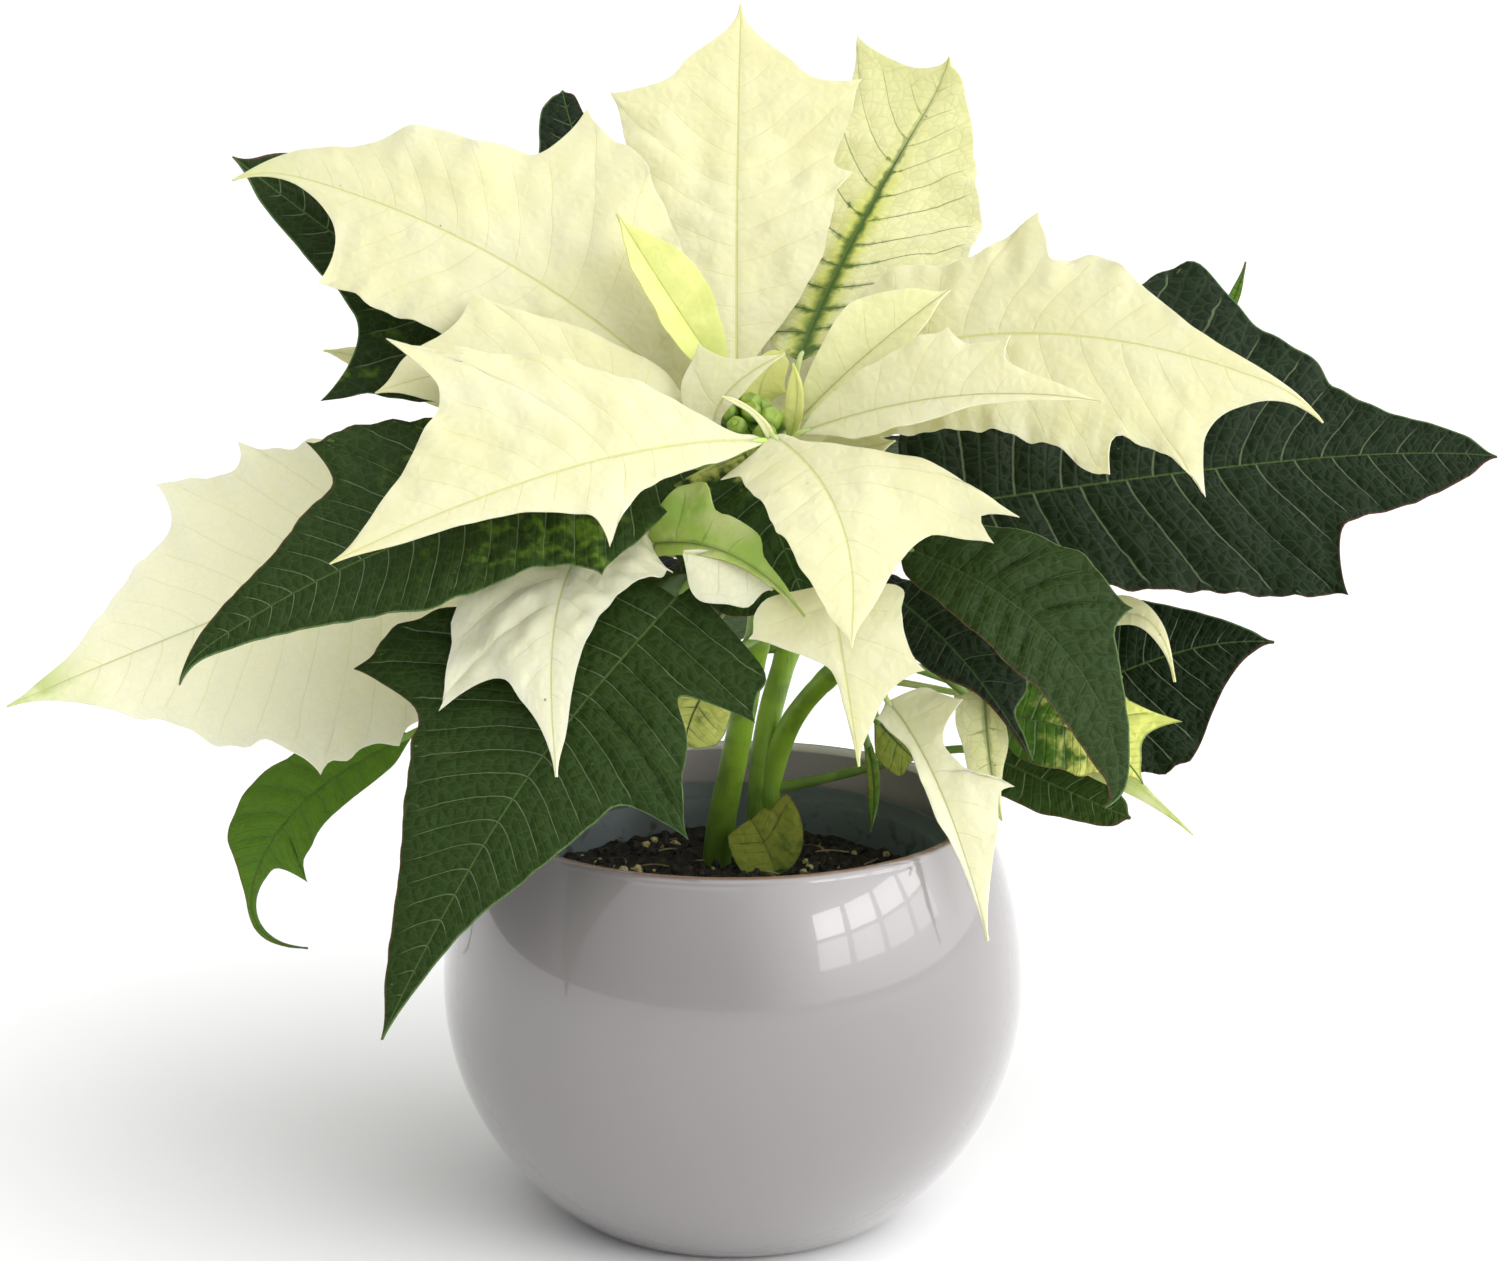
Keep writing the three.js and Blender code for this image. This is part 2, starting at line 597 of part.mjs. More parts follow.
    rib: [[-10, -28, 169], [-32, -44, 152], [-51, -60, 130], [-69, -72, 102], [-84, -80, 73]],
    margin: [
      [0.03, 28, 11], [0.12, 37, 31], [0.17, 20, 45], [0.25, 37, 59], [0.3, 47, 45], [0.36, 27, 37],
      [0.5, 22, 29], [0.66, 13, 18], [0.82, 6, 9],
    ],
  },
  {
    name: "leaf_low_left", stem: "back", at: 140, faces: [-0.2, -0.8, 0.55], green: true,
    rib: [[-84, 36, 121], [-104, 30, 108], [-125, 24, 89], [-124, 18, 73], [-112, 14, 64]],
    margin: [[0.08, 10, 6], [0.23, 9, 18], [0.41, 8, 15], [0.52, 6, 11], [0.64, 15, 7], [0.72, 3, 4]],
  },
  {
    name: "leaf_patch", stem: "front", at: 150, faces: [0, -0.9, 0.4], small: true, mottled: true,
    rib: [[2, -14, 143], [-5, -18, 134], [-9, -20, 125]],
    margin: [[0.25, 8, 5], [0.6, 8, 3]],
  },
  {
    name: "leaf_spike", stem: "back", at: 184, faces: [0.1, -0.9, 0.4], green: true,
    rib: [[56, 60, 188], [112, 70, 203], [136, 66, 239]],
    margin: [[0.12, 8, 16], [0.35, 10, 26], [0.6, 9, 16], [0.8, 2, 3]],
  },
  {
    name: "leaf_pale_tip", stem: "back", at: 181, faces: [0, -0.8, 0.6], small: true,
    rib: [[-48, 56, 198], [-84, 60, 210], [-109, 62, 216]],
    margin: [[0.15, 7, 7], [0.45, 8, 8], [0.78, 4, 4]],
  },
  {
    name: "leaf_thin", stem: "right", at: 141, faces: [-0.2, -0.95, 0.2], green: true, small: true,
    rib: [[34, -6, 127], [36, -8, 115], [35, -10, 104]],
    margin: [[0.25, 1.5, 1.5], [0.62, 1.2, 2]],
  },
  {
    name: "leaf_pale_low", stem: "right", at: 149, faces: [0, -0.9, 0.4], mottled: true, small: true,
    rib: [[37, 3, 130], [42, 4, 124], [47, 5, 119]],
    margin: [[0.25, 3, 7], [0.6, 4, 8]],
  },
  {
    name: "leaf_on_soil", faces: [0, -0.95, 0.25], mottled: true,
    rib: [[9, 8, 87], [9, 12, 95.5], [9, 16, 104]],
    margin: [[0.16, 8, 8], [0.34, 10, 10], [0.58, 8, 11], [0.85, 4, 6]],
  },
  // the far side
  {
    name: "bract_back_left", stem: "front", at: 183, faces: [-0.1, 0.3, 0.95],
    rib: [[-3, 17, 197], [-34, 62, 206], [-68, 110, 184]],
    margin: [[0.06, 8, 8], [0.2, 22, 20], [0.38, 28, 34], [0.46, 24, 22], [0.6, 20, 18], [0.82, 7, 7]],
  },
  {
    name: "bract_back_mid", stem: "front", at: 182, faces: [0, 0.4, 0.9],
    rib: [[8, 18, 203], [8, 75, 217], [12, 128, 194]],
    margin: [[0.06, 8, 8], [0.2, 20, 22], [0.34, 30, 26], [0.42, 22, 32], [0.55, 19, 20], [0.8, 8, 8]],
  },
  {
    name: "bract_back_right", stem: "front", at: 178, faces: [0.2, 0.3, 0.9],
    rib: [[18, 15, 195], [46, 60, 205], [76, 108, 190]],
    margin: [[0.06, 7, 8], [0.2, 20, 20], [0.36, 30, 28], [0.48, 20, 20], [0.62, 18, 14], [0.82, 6, 6]],
  },
  {
    name: "leaf_back_left", stem: "back", at: 168, faces: [-0.3, 0.2, 0.9], green: true,
    rib: [[-10, 62, 178], [-60, 108, 182], [-110, 148, 150]],
    margin: [[0.05, 14, 12], [0.2, 30, 32], [0.36, 42, 34], [0.44, 28, 40], [0.6, 20, 20], [0.82, 8, 8]],
  },
  {
    name: "leaf_back_mid", stem: "back", at: 177, faces: [0, 0.5, 0.85], green: true,
    rib: [[21, 80, 182], [25, 130, 174], [28, 182, 128]],
    margin: [[0.05, 12, 12], [0.2, 32, 30], [0.36, 38, 42], [0.46, 28, 26], [0.62, 18, 18], [0.84, 7, 7]],
  },
  {
    name: "leaf_back_right", stem: "back", at: 172, faces: [0.4, 0.2, 0.9], green: true,
    rib: [[50, 70, 180], [90, 104, 176], [125, 135, 140]],
    margin: [[0.06, 10, 12], [0.22, 26, 28], [0.38, 34, 30], [0.46, 22, 24], [0.62, 16, 16], [0.84, 6, 6]],
  },
  {
    name: "leaf_back_low_left", stem: "back", at: 150, faces: [-0.4, 0.3, 0.8], green: true,
    rib: [[-12, 60, 150], [-52, 98, 140], [-86, 128, 98]],
    margin: [[0.06, 10, 12], [0.22, 26, 28], [0.36, 32, 34], [0.46, 22, 22], [0.64, 15, 15], [0.84, 6, 6]],
  },
  {
    name: "leaf_back_low_mid", stem: "back", at: 143, faces: [0, 0.6, 0.8], green: true,
    rib: [[10, 70, 144], [0, 110, 138], [-14, 145, 98]],
    margin: [[0.06, 10, 10], [0.22, 24, 26], [0.38, 34, 30], [0.48, 20, 22], [0.64, 14, 14], [0.84, 6, 6]],
  },
  {
    name: "leaf_back_low_right", stem: "back", at: 147, faces: [0.4, 0.3, 0.8], green: true,
    rib: [[36, 68, 146], [66, 102, 136], [92, 132, 96]],
    margin: [[0.06, 10, 10], [0.22, 26, 24], [0.36, 30, 34], [0.46, 20, 22], [0.64, 14, 14], [0.84, 6, 6]],
  },
];

// ---------------------------------------------------------------- the true flowers
/** A tight head of round green buds on short stalks, spread like seeds in a sunflower. */
function flowerHead() {
  const COUNT = 9;
  const SPREAD = 2;
  const GOLDEN_ANGLE = THREE.MathUtils.degToRad(137.5);
  const BUD_SIDES = 6;
  const CORE_SIDES = 8;
  const DOME = 0.09; // how fast the outer buds sit lower
  const NECK = { foot: 0.8, top: 1.3, rise: 1.4, sides: 5 };
  const foot = new THREE.Vector3(7, 0.6, STEM_TOP_Z + CLEARANCE);
  const crown = new THREE.Vector3(6, -4.5, 211.5);
  const budProfile = [[0, -3.2], [2.4, -2], [2.8, 0.6], [1.7, 2.6], [0, 3.3]];
  const upright = new THREE.Vector3(0, 0, 1);
  const toCrown = new THREE.Quaternion().setFromUnitVectors(upright, crown.clone().sub(foot).normalize());
  const core = turned([[0, 0], [2, 0.6], [3.4, 5], [4.6, 9], [0, 11]], CORE_SIDES).applyQuaternion(toCrown);
  let head = solid(core.translate(foot.x, foot.y, foot.z + 0.2));
  for (let k = 0; k < COUNT; k += 1) {
    const far = SPREAD * Math.sqrt(k);
    const angle = GOLDEN_ANGLE * k;
    const aside = new THREE.Vector3(far * Math.cos(angle), far * Math.sin(angle), -DOME * far * far);
    const place = crown.clone().add(aside);
    const neck = new THREE.LineCurve3(foot.clone().setZ(foot.z + NECK.rise), place);
    const lean = new THREE.Quaternion().setFromUnitVectors(upright, place.clone().sub(foot).normalize());
    const bud = turned(budProfile, BUD_SIDES).applyQuaternion(lean).translate(place.x, place.y, place.z);
    const stalk = bar(neck, (t) => NECK.foot + (NECK.top - NECK.foot) * t, NECK.sides, 1);
    head = head.add(solid(stalk)).add(solid(bud));
  }
  return head;
}

const stemSolids = Object.fromEntries(Object.entries(STEMS).map(([key, stem]) => [key, stemBar(stem)]));
const stemHoles = Object.values(STEMS).map((stem) => stemBar(stem, CLEARANCE));

add("cover_pot", coverPot(), GLAZE);
add("growing_pot", growingPot(), LINER);
add("potting_soil", geometryOf(pottingSoil(stemHoles)), SOIL);
add("stem_front", geometryOf(stemSolids.front), STEM);
add("stem_back", geometryOf(stemSolids.back.add(stemSolids.right)), STEM);

add("flower_head", geometryOf(flowerHead()), BUD);

function colourOf(leaf) {
  if (leaf.mottled) return MOTTLED;
  if (leaf.green) return FOLIAGE;
  return leaf.young ? YOUNG_BRACT : BRACT;
}

for (const leaf of LEAVES) {
  let whole = solid(blade(leaf));
  if (leaf.stem) whole = whole.add(solid(stalk(leaf)));
  const cut = stemHoles.reduce((rest, hole) => rest.subtract(hole), whole);
  add(leaf.name, geometryOf(largest(cut)), colourOf(leaf));
}

export default group;
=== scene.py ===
"""A cream poinsettia in a glazed round cover pot: its looks, made over the packed solids.

Shapes are worked out in millimetres, +Z up, with the origin at the centre of the pot's flat foot and the
viewer at -Y, and are scaled to metres when they become meshes. Each leaf or bract is one grid surface that
hangs on its midrib and is crossed by its side veins.
"""

import math
from dataclasses import dataclass, field
from itertools import product

import bpy
import numpy as np
from bpy.props import FloatProperty, FloatVectorProperty, PointerProperty
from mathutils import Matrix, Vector


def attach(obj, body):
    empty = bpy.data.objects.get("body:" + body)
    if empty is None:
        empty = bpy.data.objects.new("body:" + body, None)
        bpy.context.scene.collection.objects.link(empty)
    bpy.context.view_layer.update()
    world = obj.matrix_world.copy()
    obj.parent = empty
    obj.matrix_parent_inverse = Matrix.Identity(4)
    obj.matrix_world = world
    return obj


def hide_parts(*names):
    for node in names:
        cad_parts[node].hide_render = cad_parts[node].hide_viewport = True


bl_info = {
    "name": "Potted poinsettia",
    "version": (1, 0, 0),
    "blender": (4, 5, 0),
    "location": "View3D > Sidebar > Poinsettia",
    "description": "Builds a cream poinsettia in a glazed cover pot, piece by piece",
    "category": "Add Mesh",
}

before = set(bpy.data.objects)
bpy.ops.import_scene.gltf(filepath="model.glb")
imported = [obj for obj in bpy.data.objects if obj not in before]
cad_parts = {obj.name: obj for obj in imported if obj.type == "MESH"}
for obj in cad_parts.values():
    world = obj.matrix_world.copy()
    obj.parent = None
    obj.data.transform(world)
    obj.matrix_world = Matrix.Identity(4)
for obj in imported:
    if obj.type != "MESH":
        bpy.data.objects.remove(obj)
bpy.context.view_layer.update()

MM = 0.001  # metres


def screen(red, green, blue):
    """A colour in linear light, from its 0 to 255 screen values."""
    shares = [value / 255 for value in (red, green, blue)]
    return tuple(s / 12.92 if s <= 0.04045 else ((s + 0.055) / 1.055) ** 2.4 for s in shares)


def size_property(name, default, description):
    return FloatProperty(name=name, default=default, min=0, description=description)


def colour_property(name, default, description):
    return FloatVectorProperty(
        name=name, default=screen(*default), subtype="COLOR", min=0, max=1, description=description
    )


# ---------------------------------------------------------------- sizes and colours a user may change
class PotSettings(bpy.types.PropertyGroup):
    """Sizes and colours of the cover pot, the growing pot and the soil."""

    belly_radius: size_property("Belly radius", 75, "Outer radius at the widest height, in mm")
    belly_height: size_property("Belly height", 61.9, "Height of the widest place, in mm")
    foot_radius: size_property("Foot radius", 40, "Radius of the flat foot, in mm")
    lower_half: size_property("Lower half height", 73.4, "Semi-axis of the ellipse below the belly, in mm")
    upper_half: size_property("Upper half height", 87.1, "Semi-axis of the ellipse above the belly, in mm")
    wall: size_property("Wall", 4, "Thickness of the cover pot's wall, in mm")
    floor: size_property("Floor", 5, "Thickness of the cover pot's floor, in mm")
    lip_radius: size_property("Lip radius", 2, "Radius of the rounded lip, in mm")
    lip_place: size_property("Lip place", 62.4, "Distance of the lip's middle from the axis, in mm")
    lip_height: size_property("Lip height", 106.2, "Height of the lip's middle, in mm")
    soil_height: size_property("Soil height", 86, "Height of the soil's surface, in mm")
    glaze: colour_property("Glaze", (131, 127, 126), "Warm grey glaze")
    glaze_deep: colour_property("Thick glaze", (127, 123, 123), "Glaze where it lies thicker")
    glaze_rim: colour_property("Glaze at the rim", (118, 88, 74), "Glaze that ran thin on the rim")
    # The inside colour is a pinkish tint made far paler by painted light on the inner wall.
    glaze_inside_lit: colour_property("Glaze inside", (236, 225, 228), "Paler glaze inside the pot")
    plastic: colour_property("Growing pot", (104, 114, 118), "Dark blue-grey plastic")
    peat: colour_property("Peat", (18, 13, 9), "Moist potting soil")
    peat_dry: colour_property("Dry peat", (56, 42, 32), "Drier crumbs of the soil")
    pebble: colour_property("Pale crumbs", (196, 182, 128), "Pale mineral crumbs in the soil")


class StemSettings(bpy.types.PropertyGroup):
    """Colours of the stems, the stalks and the flowers."""

    fresh: colour_property("Fresh stem", (150, 190, 54), "Green of a young stem")
    old: colour_property("Old stem", (84, 114, 34), "Green of an older stem, near the soil")
    scar: colour_property("Scar", (150, 146, 104), "Leaf scars and pores")
    leaf_stalk: colour_property("Leaf stalk", (124, 156, 70), "Stalk of a green leaf")
    bract_stalk: colour_property("Bract stalk", (206, 214, 146), "Stalk of a pale bract")
    bud: colour_property("Bud", (88, 122, 40), "Closed flower bud")
    bud_crown: colour_property("Bud crown", (136, 158, 60), "Top of a bud and its nectar cups")


class BractSettings(bpy.types.PropertyGroup):
    """Colours of the pale bracts."""

    cream: colour_property("Cream", (210, 207, 171), "A grown bract")
    cream_deep: colour_property("Deep cream", (205, 201, 152), "A grown bract's hollows")
    young: colour_property("Young bract", (206, 206, 134), "A young bract round the flowers")
    young_deep: colour_property("Deep young bract", (198, 202, 116), "A young bract's hollows")
    pale_green: colour_property("Pale green", (142, 172, 76), "A bract that is turning from green")
    vein: colour_property("Vein", (200, 196, 118), "Side veins of a bract")
    rib: colour_property("Midrib", (190, 196, 108), "Midrib of a bract")
    feather: colour_property("Feathering", (46, 84, 24), "Green that spreads along the veins")
    fringe: colour_property("Fringe", (186, 194, 66), "Yellow-green beside a bract's green veins")
    green_vein: colour_property("Green vein", (112, 140, 58), "Side veins of a green-veined bract")
    under: colour_property("Underside", (222, 225, 186), "Lower face of a bract")
    # The palest cream: partly the bracts' own paleness, partly painted light that lifts bracts lying in
    # shade.
    pale_and_lit_cream: colour_property("Bleached", (234, 232, 200), "The palest bracts")
    speck: colour_property("Speck", (112, 100, 66), "Tiny dark specks near the midrib")


class LeafSettings(bpy.types.PropertyGroup):
    """Colours of the green leaves."""

    dark: colour_property("Dark green", (16, 30, 10), "An old leaf's upper face")
    # painted light: the lighter green that the raised quilt crowns between the veins are given
    crown: colour_property("Quilt crowns", (22, 39, 14), "Raised skin between the veins")
    vein: colour_property("Vein", (138, 160, 116), "Side veins of a leaf")
    rib: colour_property("Midrib", (74, 96, 48), "Midrib of a leaf")
    red_margin: colour_property("Red margin", (104, 62, 52), "Thin reddish edge on one side")
    pale_margin: colour_property("Pale margin", (98, 124, 76), "Thin pale edge on the other side")
    marbling: colour_property("Marbling", (104, 138, 38), "Lighter marbling of a dark leaf")
    yellow: colour_property("Yellow", (206, 212, 112), "Yellow of a marbled leaf")
    olive: colour_property("Olive", (140, 148, 58), "Yellowed parts of a young leaf")
    # fresh is also the painted light on a young leaf's quilt crowns; fresh_deep is the ground left in the
    # hollows by the veins
    fresh: colour_property("Fresh green", (90, 128, 34), "A young leaf's upper face")
    fresh_deep: colour_property("Deep fresh green", (50, 82, 24), "A young leaf's hollows")
    under: colour_property("Underside", (84, 108, 62), "Lower face of a leaf")


class SkinSettings(bpy.types.PropertyGroup):
    """Sizes of the leaves' skin."""

    thickness: size_property("Blade thickness", 0.7, "Thickness of a blade, in mm")
    edge: size_property("Edge thickness", 0.3, "Thickness of a blade's margin, in mm")
    step: size_property("Surface step", 1.9, "Largest step between two rows of a blade's grid, in mm")
    leaf_veins: size_property("Leaf veins", 6.8, "Distance between a leaf's side veins at the midrib, in mm")
    bract_veins: size_property("Bract veins", 8.8, "Distance between a bract's side veins, in mm")
    leaf_quilt: size_property("Leaf quilting", 1.05, "How far a leaf's skin bulges between veins, in mm")
    bract_quilt: size_property("Bract quilting", 0.6, "How far a bract's skin bulges between veins, in mm")


class StageSettings(bpy.types.PropertyGroup):
    """Floor, light and camera."""

    floor: colour_property("Floor", (251, 251, 251), "Plain pale floor")
    shade: size_property("Darkest side", 0.14, "Surrounding light from the darkest side")
    side: size_property("Bright side", 2.3, "Surrounding light from the viewer's right, over the darkest")
    front: size_property("Front", 0.25, "Surrounding light from the viewer, over the darkest")
    overhead: size_property("Overhead", 0.6, "Surrounding light from straight above, over the darkest")
    key: size_property("Main light", 3.3, "Power of the large soft light, in watts")
    pane: size_property("Window pane", 1.05, "Power of each pane of the window, in watts")


# ---------------------------------------------------------------- arrays and meshes
SHARP_EDGE = math.radians(52)


def around(sides):
    """Even angles once round, starting at 0."""
    return np.linspace(0, 2 * np.pi, sides, endpoint=False)


def unit(vectors):
    return vectors / np.maximum(np.linalg.norm(vectors, axis=-1, keepdims=True), 1e-12)


def ease(values, low, high):
    """0 below low, 1 above high, and a smooth rise 3t^2 - 2t^3 between them."""
    t = np.clip((values - low) / (high - low), 0, 1)
    return t * t * (3 - 2 * t)


def lattice_noise(points, cell, seed):
    """Smooth random values from -1 to 1: each corner of a lattice has a fixed one, and between the corners
    they are blended. The corner's value is the fraction of a large multiple of a sine."""
    places = np.asarray(points, float) / cell
    corner = np.floor(places)
    part = places - corner
    part = part * part * (3 - 2 * part)
    mixer = np.array([12.9898, 78.233, 37.719])[: places.shape[-1]]
    total = 0.0
    for shift in product((0, 1), repeat=places.shape[-1]):
        wild = np.sin((corner + shift) @ mixer + seed * 1.37) * 43758.5453
        weight = np.prod(np.where(np.array(shift) == 1, part, 1 - part), axis=-1)
        total = total + weight * (2 * (wild - np.floor(wild)) - 1)
    return total


@dataclass
class Shell:
    """A closed surface of quads. marks holds, for each corner attribute, three numbers a corner."""

    points: np.ndarray
    quads: np.ndarray
    slot: int = 0
    marks: dict = field(default_factory=dict)


def grid_quads(rows, columns, closed=False):
    """The quads of a grid whose points are numbered row by row, as an array [row, column, corner].
    closed joins the last column to the first."""
    row, column = np.mgrid[0 : rows - 1, 0 : columns if closed else columns - 1]
    after = (column + 1) % columns
    low, high = row * columns, (row + 1) * columns
    return np.stack([low + column, low + after, high + after, high + column], -1)


def ring_shell(rings, slot=0):
    """A closed shell from rings of points [ring, side, xyz], which turn left round the way the stack goes.
    Each end is closed by quads across its ring, so a ring has an even number of points."""
    count, sides = rings.shape[:2]
    k = np.arange(sides // 2 - 1)
    cap = np.stack([k, k + 1, sides - 2 - k, sides - 1 - k], -1)
    walls = grid_quads(count, sides, closed=True).reshape(-1, 4)
    return Shell(rings.reshape(-1, 3), np.vstack([walls, cap[:, ::-1], cap + (count - 1) * sides]), slot)


def revolve(profile, sides):
    """Rings from [radius, z] pairs turned round the z axis: x = r cos a, y = r sin a."""
    radius, height = np.asarray(profile, float).T
    turn = around(sides)
    x, y = np.outer(radius, np.cos(turn)), np.outer(radius, np.sin(turn))
    return np.stack([x, y, np.repeat(height[:, None], sides, 1)], -1)


def tube_rings(path, radius, sides):
    """Rings round a path of points: each is p + r (cos a * across + sin a * third). across is carried
    along the path and stays square to it, so the tube doesn't twist."""
    along = unit(np.gradient(path, axis=0))
    across = np.empty_like(path)
    carried = np.array([1.0, 0, 0]) if abs(along[0, 0]) < 0.7 else np.array([0, 1.0, 0])
    for i, direction in enumerate(along):
        carried = unit(carried - direction * (carried @ direction))
        across[i] = carried
    third = np.cross(along, across)
    turn = around(sides)[None, :, None]
    reach = np.broadcast_to(radius, len(path))[:, None, None]
    return path[:, None] + reach * (np.cos(turn) * across[:, None] + np.sin(turn) * third[:, None])


def resample(path, count):
    """The path's points at even steps of its length."""
    steps = np.linalg.norm(np.diff(path, axis=0), axis=1)
    length = np.concatenate([[0], np.cumsum(steps)])
    wanted = np.linspace(0, length[-1], count)
    return np.stack([np.interp(wanted, length, path[:, k]) for k in range(3)], -1)


def make_piece(name, shells, materials, node):
    """One object from closed shells, in metres, smooth but for its sharp edges. It rides on the body and
    stands for the CAD node. A shell without an attribute that another one has gets zeros."""
    offsets = np.cumsum([0] + [len(shell.points) for shell in shells])
    quads = np.vstack([shell.quads + offset for shell, offset in zip(shells, offsets)])
    mesh = bpy.data.meshes.new(name)
    mesh.from_pydata(np.vstack([shell.points for shell in shells]) * MM, [], quads.tolist())
    slots = np.concatenate([np.full(len(shell.quads), shell.slot) for shell in shells])
    mesh.polygons.foreach_set("material_index", slots.astype(np.int32))
    for mark in sorted({mark for shell in shells for mark in shell.marks}):
        values = [shell.marks.get(mark, np.zeros((len(shell.quads), 4, 3))) for shell in shells]
        attribute = mesh.attributes.new(mark, "FLOAT_VECTOR", "CORNER")
        attribute.data.foreach_set("vector", np.vstack(values).astype(np.float32).ravel())
    for material in materials:
        mesh.materials.append(material)
    mesh.shade_smooth()
    mesh.set_sharp_from_angle(angle=SHARP_EDGE)
    piece = bpy.data.objects.new(name, mesh)
    bpy.context.scene.collection.objects.link(piece)
    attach(piece, "root")
    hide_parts(node)


# ---------------------------------------------------------------- shader nodes
class Number:
    """A shader socket that joins in arithmetic: each operator adds its Math node."""

    def __init__(self, board, socket):
        self.board = board
        self.socket = socket

    def math(self, operation, *others):
        values = dict(enumerate((self, *others)))
        node = self.board.node("ShaderNodeMath", {"operation": operation}, values)
        return Number(self.board, node.outputs[0])

    def __add__(self, other):
        return self.math("ADD", other)

    def __sub__(self, other):
        return self.math("SUBTRACT", other)

    def __rsub__(self, other):
        return (self * -1) + other

    def __mul__(self, other):
        return self.math("MULTIPLY", other)

    def __abs__(self):
        return self.math("ABSOLUTE")

    __radd__ = __add__
    __rmul__ = __mul__


class Board:
    """The node tree of one material or world, with the few steps that the finishes are made of."""

    def __init__(self, owner):
        self.owner = owner
        owner.use_nodes = True
        self.tree = owner.node_tree
        self.tree.nodes.clear()

    @classmethod
    def material(cls, name):
        return cls(bpy.data.materials.new(name))

    def node(self, kind, settings, sockets):
        """Adds a node: its settings first, then the value or the link of each socket."""
        node = self.tree.nodes.new(kind)
        for key, value in settings.items():
            setattr(node, key, value)
        for key, value in sockets.items():
            value = value.socket if isinstance(value, Number) else value
            if isinstance(value, bpy.types.NodeSocket):
                self.tree.links.new(value, node.inputs[key])
            else:
                node.inputs[key].default_value = value
        return node

    def position(self):
        """Object coordinates in millimetres."""
        place = self.node("ShaderNodeTexCoord", {}, {}).outputs["Object"]
        scaled = self.node("ShaderNodeVectorMath", {"operation": "SCALE"}, {0: place, "Scale": 1 / MM})
        return scaled.outputs[0]

    def parts(self, vector):
        """The three numbers of a vector."""
        split = self.node("ShaderNodeSeparateXYZ", {}, {0: vector})
        return [Number(self, socket) for socket in split.outputs]

    def marks(self, name):
        """The three numbers of a corner attribute."""
        return self.parts(self.node("ShaderNodeAttribute", {"attribute_name": name}, {}).outputs["Vector"])

    def vector(self, x, y, z):
        return self.node("ShaderNodeCombineXYZ", {}, {0: x, 1: y, 2: z}).outputs[0]

    def noise(self, place, cell, detail=2.0):
        """Soft random values about 0.5, with blotches about as large as cell."""
        values = {"Vector": place, "Scale": 1 / cell, "Detail": detail}
        return Number(self, self.node("ShaderNodeTexNoise", {}, values).outputs[0])

    def net(self, place, cell):
        """Distance to the nearest line of an irregular net, in shares of its cells."""
        values = {"Vector": place, "Scale": 1 / cell}
        cells = self.node("ShaderNodeTexVoronoi", {"feature": "DISTANCE_TO_EDGE"}, values)
        return Number(self, cells.outputs["Distance"])

    def dots(self, place, cell, radius, share):
        """1 on round dots of that radius, of which share is the part of the cells that has one."""
        cells = self.node("ShaderNodeTexVoronoi", {}, {"Vector": place, "Scale": 1 / cell})
        near = 1 - self.rise(Number(self, cells.outputs["Distance"]), 0.6 * radius / cell, radius / cell)
        chosen = self.parts(cells.outputs["Color"])[0]
        return near * chosen.math("LESS_THAN", share)

    def rise(self, value, low, high):
        """0 below low, 1 above high, smooth between them."""
        sockets = {"Value": value, "From Min": low, "From Max": high}
        ranged = self.node("ShaderNodeMapRange", {"interpolation_type": "SMOOTHSTEP"}, sockets)
        return Number(self, ranged.outputs["Result"])

    def mix(self, share, first, second):
        """The colour between two colours."""
        ends = {6: first, 7: second}
        for key, end in ends.items():
            ends[key] = end if isinstance(end, bpy.types.NodeSocket) else (*end, 1.0)
        return self.node("ShaderNodeMix", {"data_type": "RGBA"}, {0: share, **ends}).outputs[2]

    def finish(self, colour, roughness, height, **constants):
        """A Principled surface with a bump height in millimetres. Constants go to the shader's sockets."""
        relief = self.node("ShaderNodeBump", {}, {"Height": height, "Distance": MM})
        sockets = {"Base Color": colour, "Roughness": roughness, "Normal": relief.outputs[0]}
        named = {key.replace("_", " ").title(): value for key, value in constants.items()}
        named = {key.replace("Ior", "IOR"): value for key, value in named.items()}
        surface = self.node("ShaderNodeBsdfPrincipled", {}, {**sockets, **named})
        self.node("ShaderNodeOutputMaterial", {}, {"Surface": surface.outputs[0]})
        return self.owner


# ---------------------------------------------------------------- finishes
def glaze(pot):
    """Warm grey gloss, thin and brown on the lip's crest at the front, with a few tiny specks. The inner
    wall
    is far paler: a pinkish tint with painted light over it."""
    board = Board.material("glaze")
    place = board.position()
    _, y, z = board.parts(place)
    colour = board.mix(board.noise(place, 60, 1.0), pot.glaze, pot.glaze_deep)
    inner = board.marks("wall")[0]
    # painted light: the inner wall takes a far paler colour than the outside, as if lit
    colour = board.mix(inner, colour, pot.glaze_inside_lit)
    crest = pot.lip_height + pot.lip_radius
    rim = board.rise(z, crest - 0.25 * pot.lip_radius, crest - 0.06 * pot.lip_radius)
    rim = rim * (1 - board.rise(y, -10, 25))
    ragged = board.rise(board.noise(place, 6) + 0.2 * board.noise(place, 1.5), 0.42, 0.66)
    colour = board.mix(rim * (0.55 + 0.45 * ragged), colour, pot.glaze_rim)
    specks = board.dots(place, 17, 0.3, 0.09)
    colour = board.mix(specks * 0.8, colour, pot.glaze_rim)
    height = 0.1 * board.noise(place, 30, 1.0) + 0.006 * board.noise(place, 3) - 0.08 * specks
    return board.finish(colour, 0.2 + 0.05 * board.noise(place, 18), height, coat_weight=1.0,
                        coat_roughness=0.03, ior=1.45)


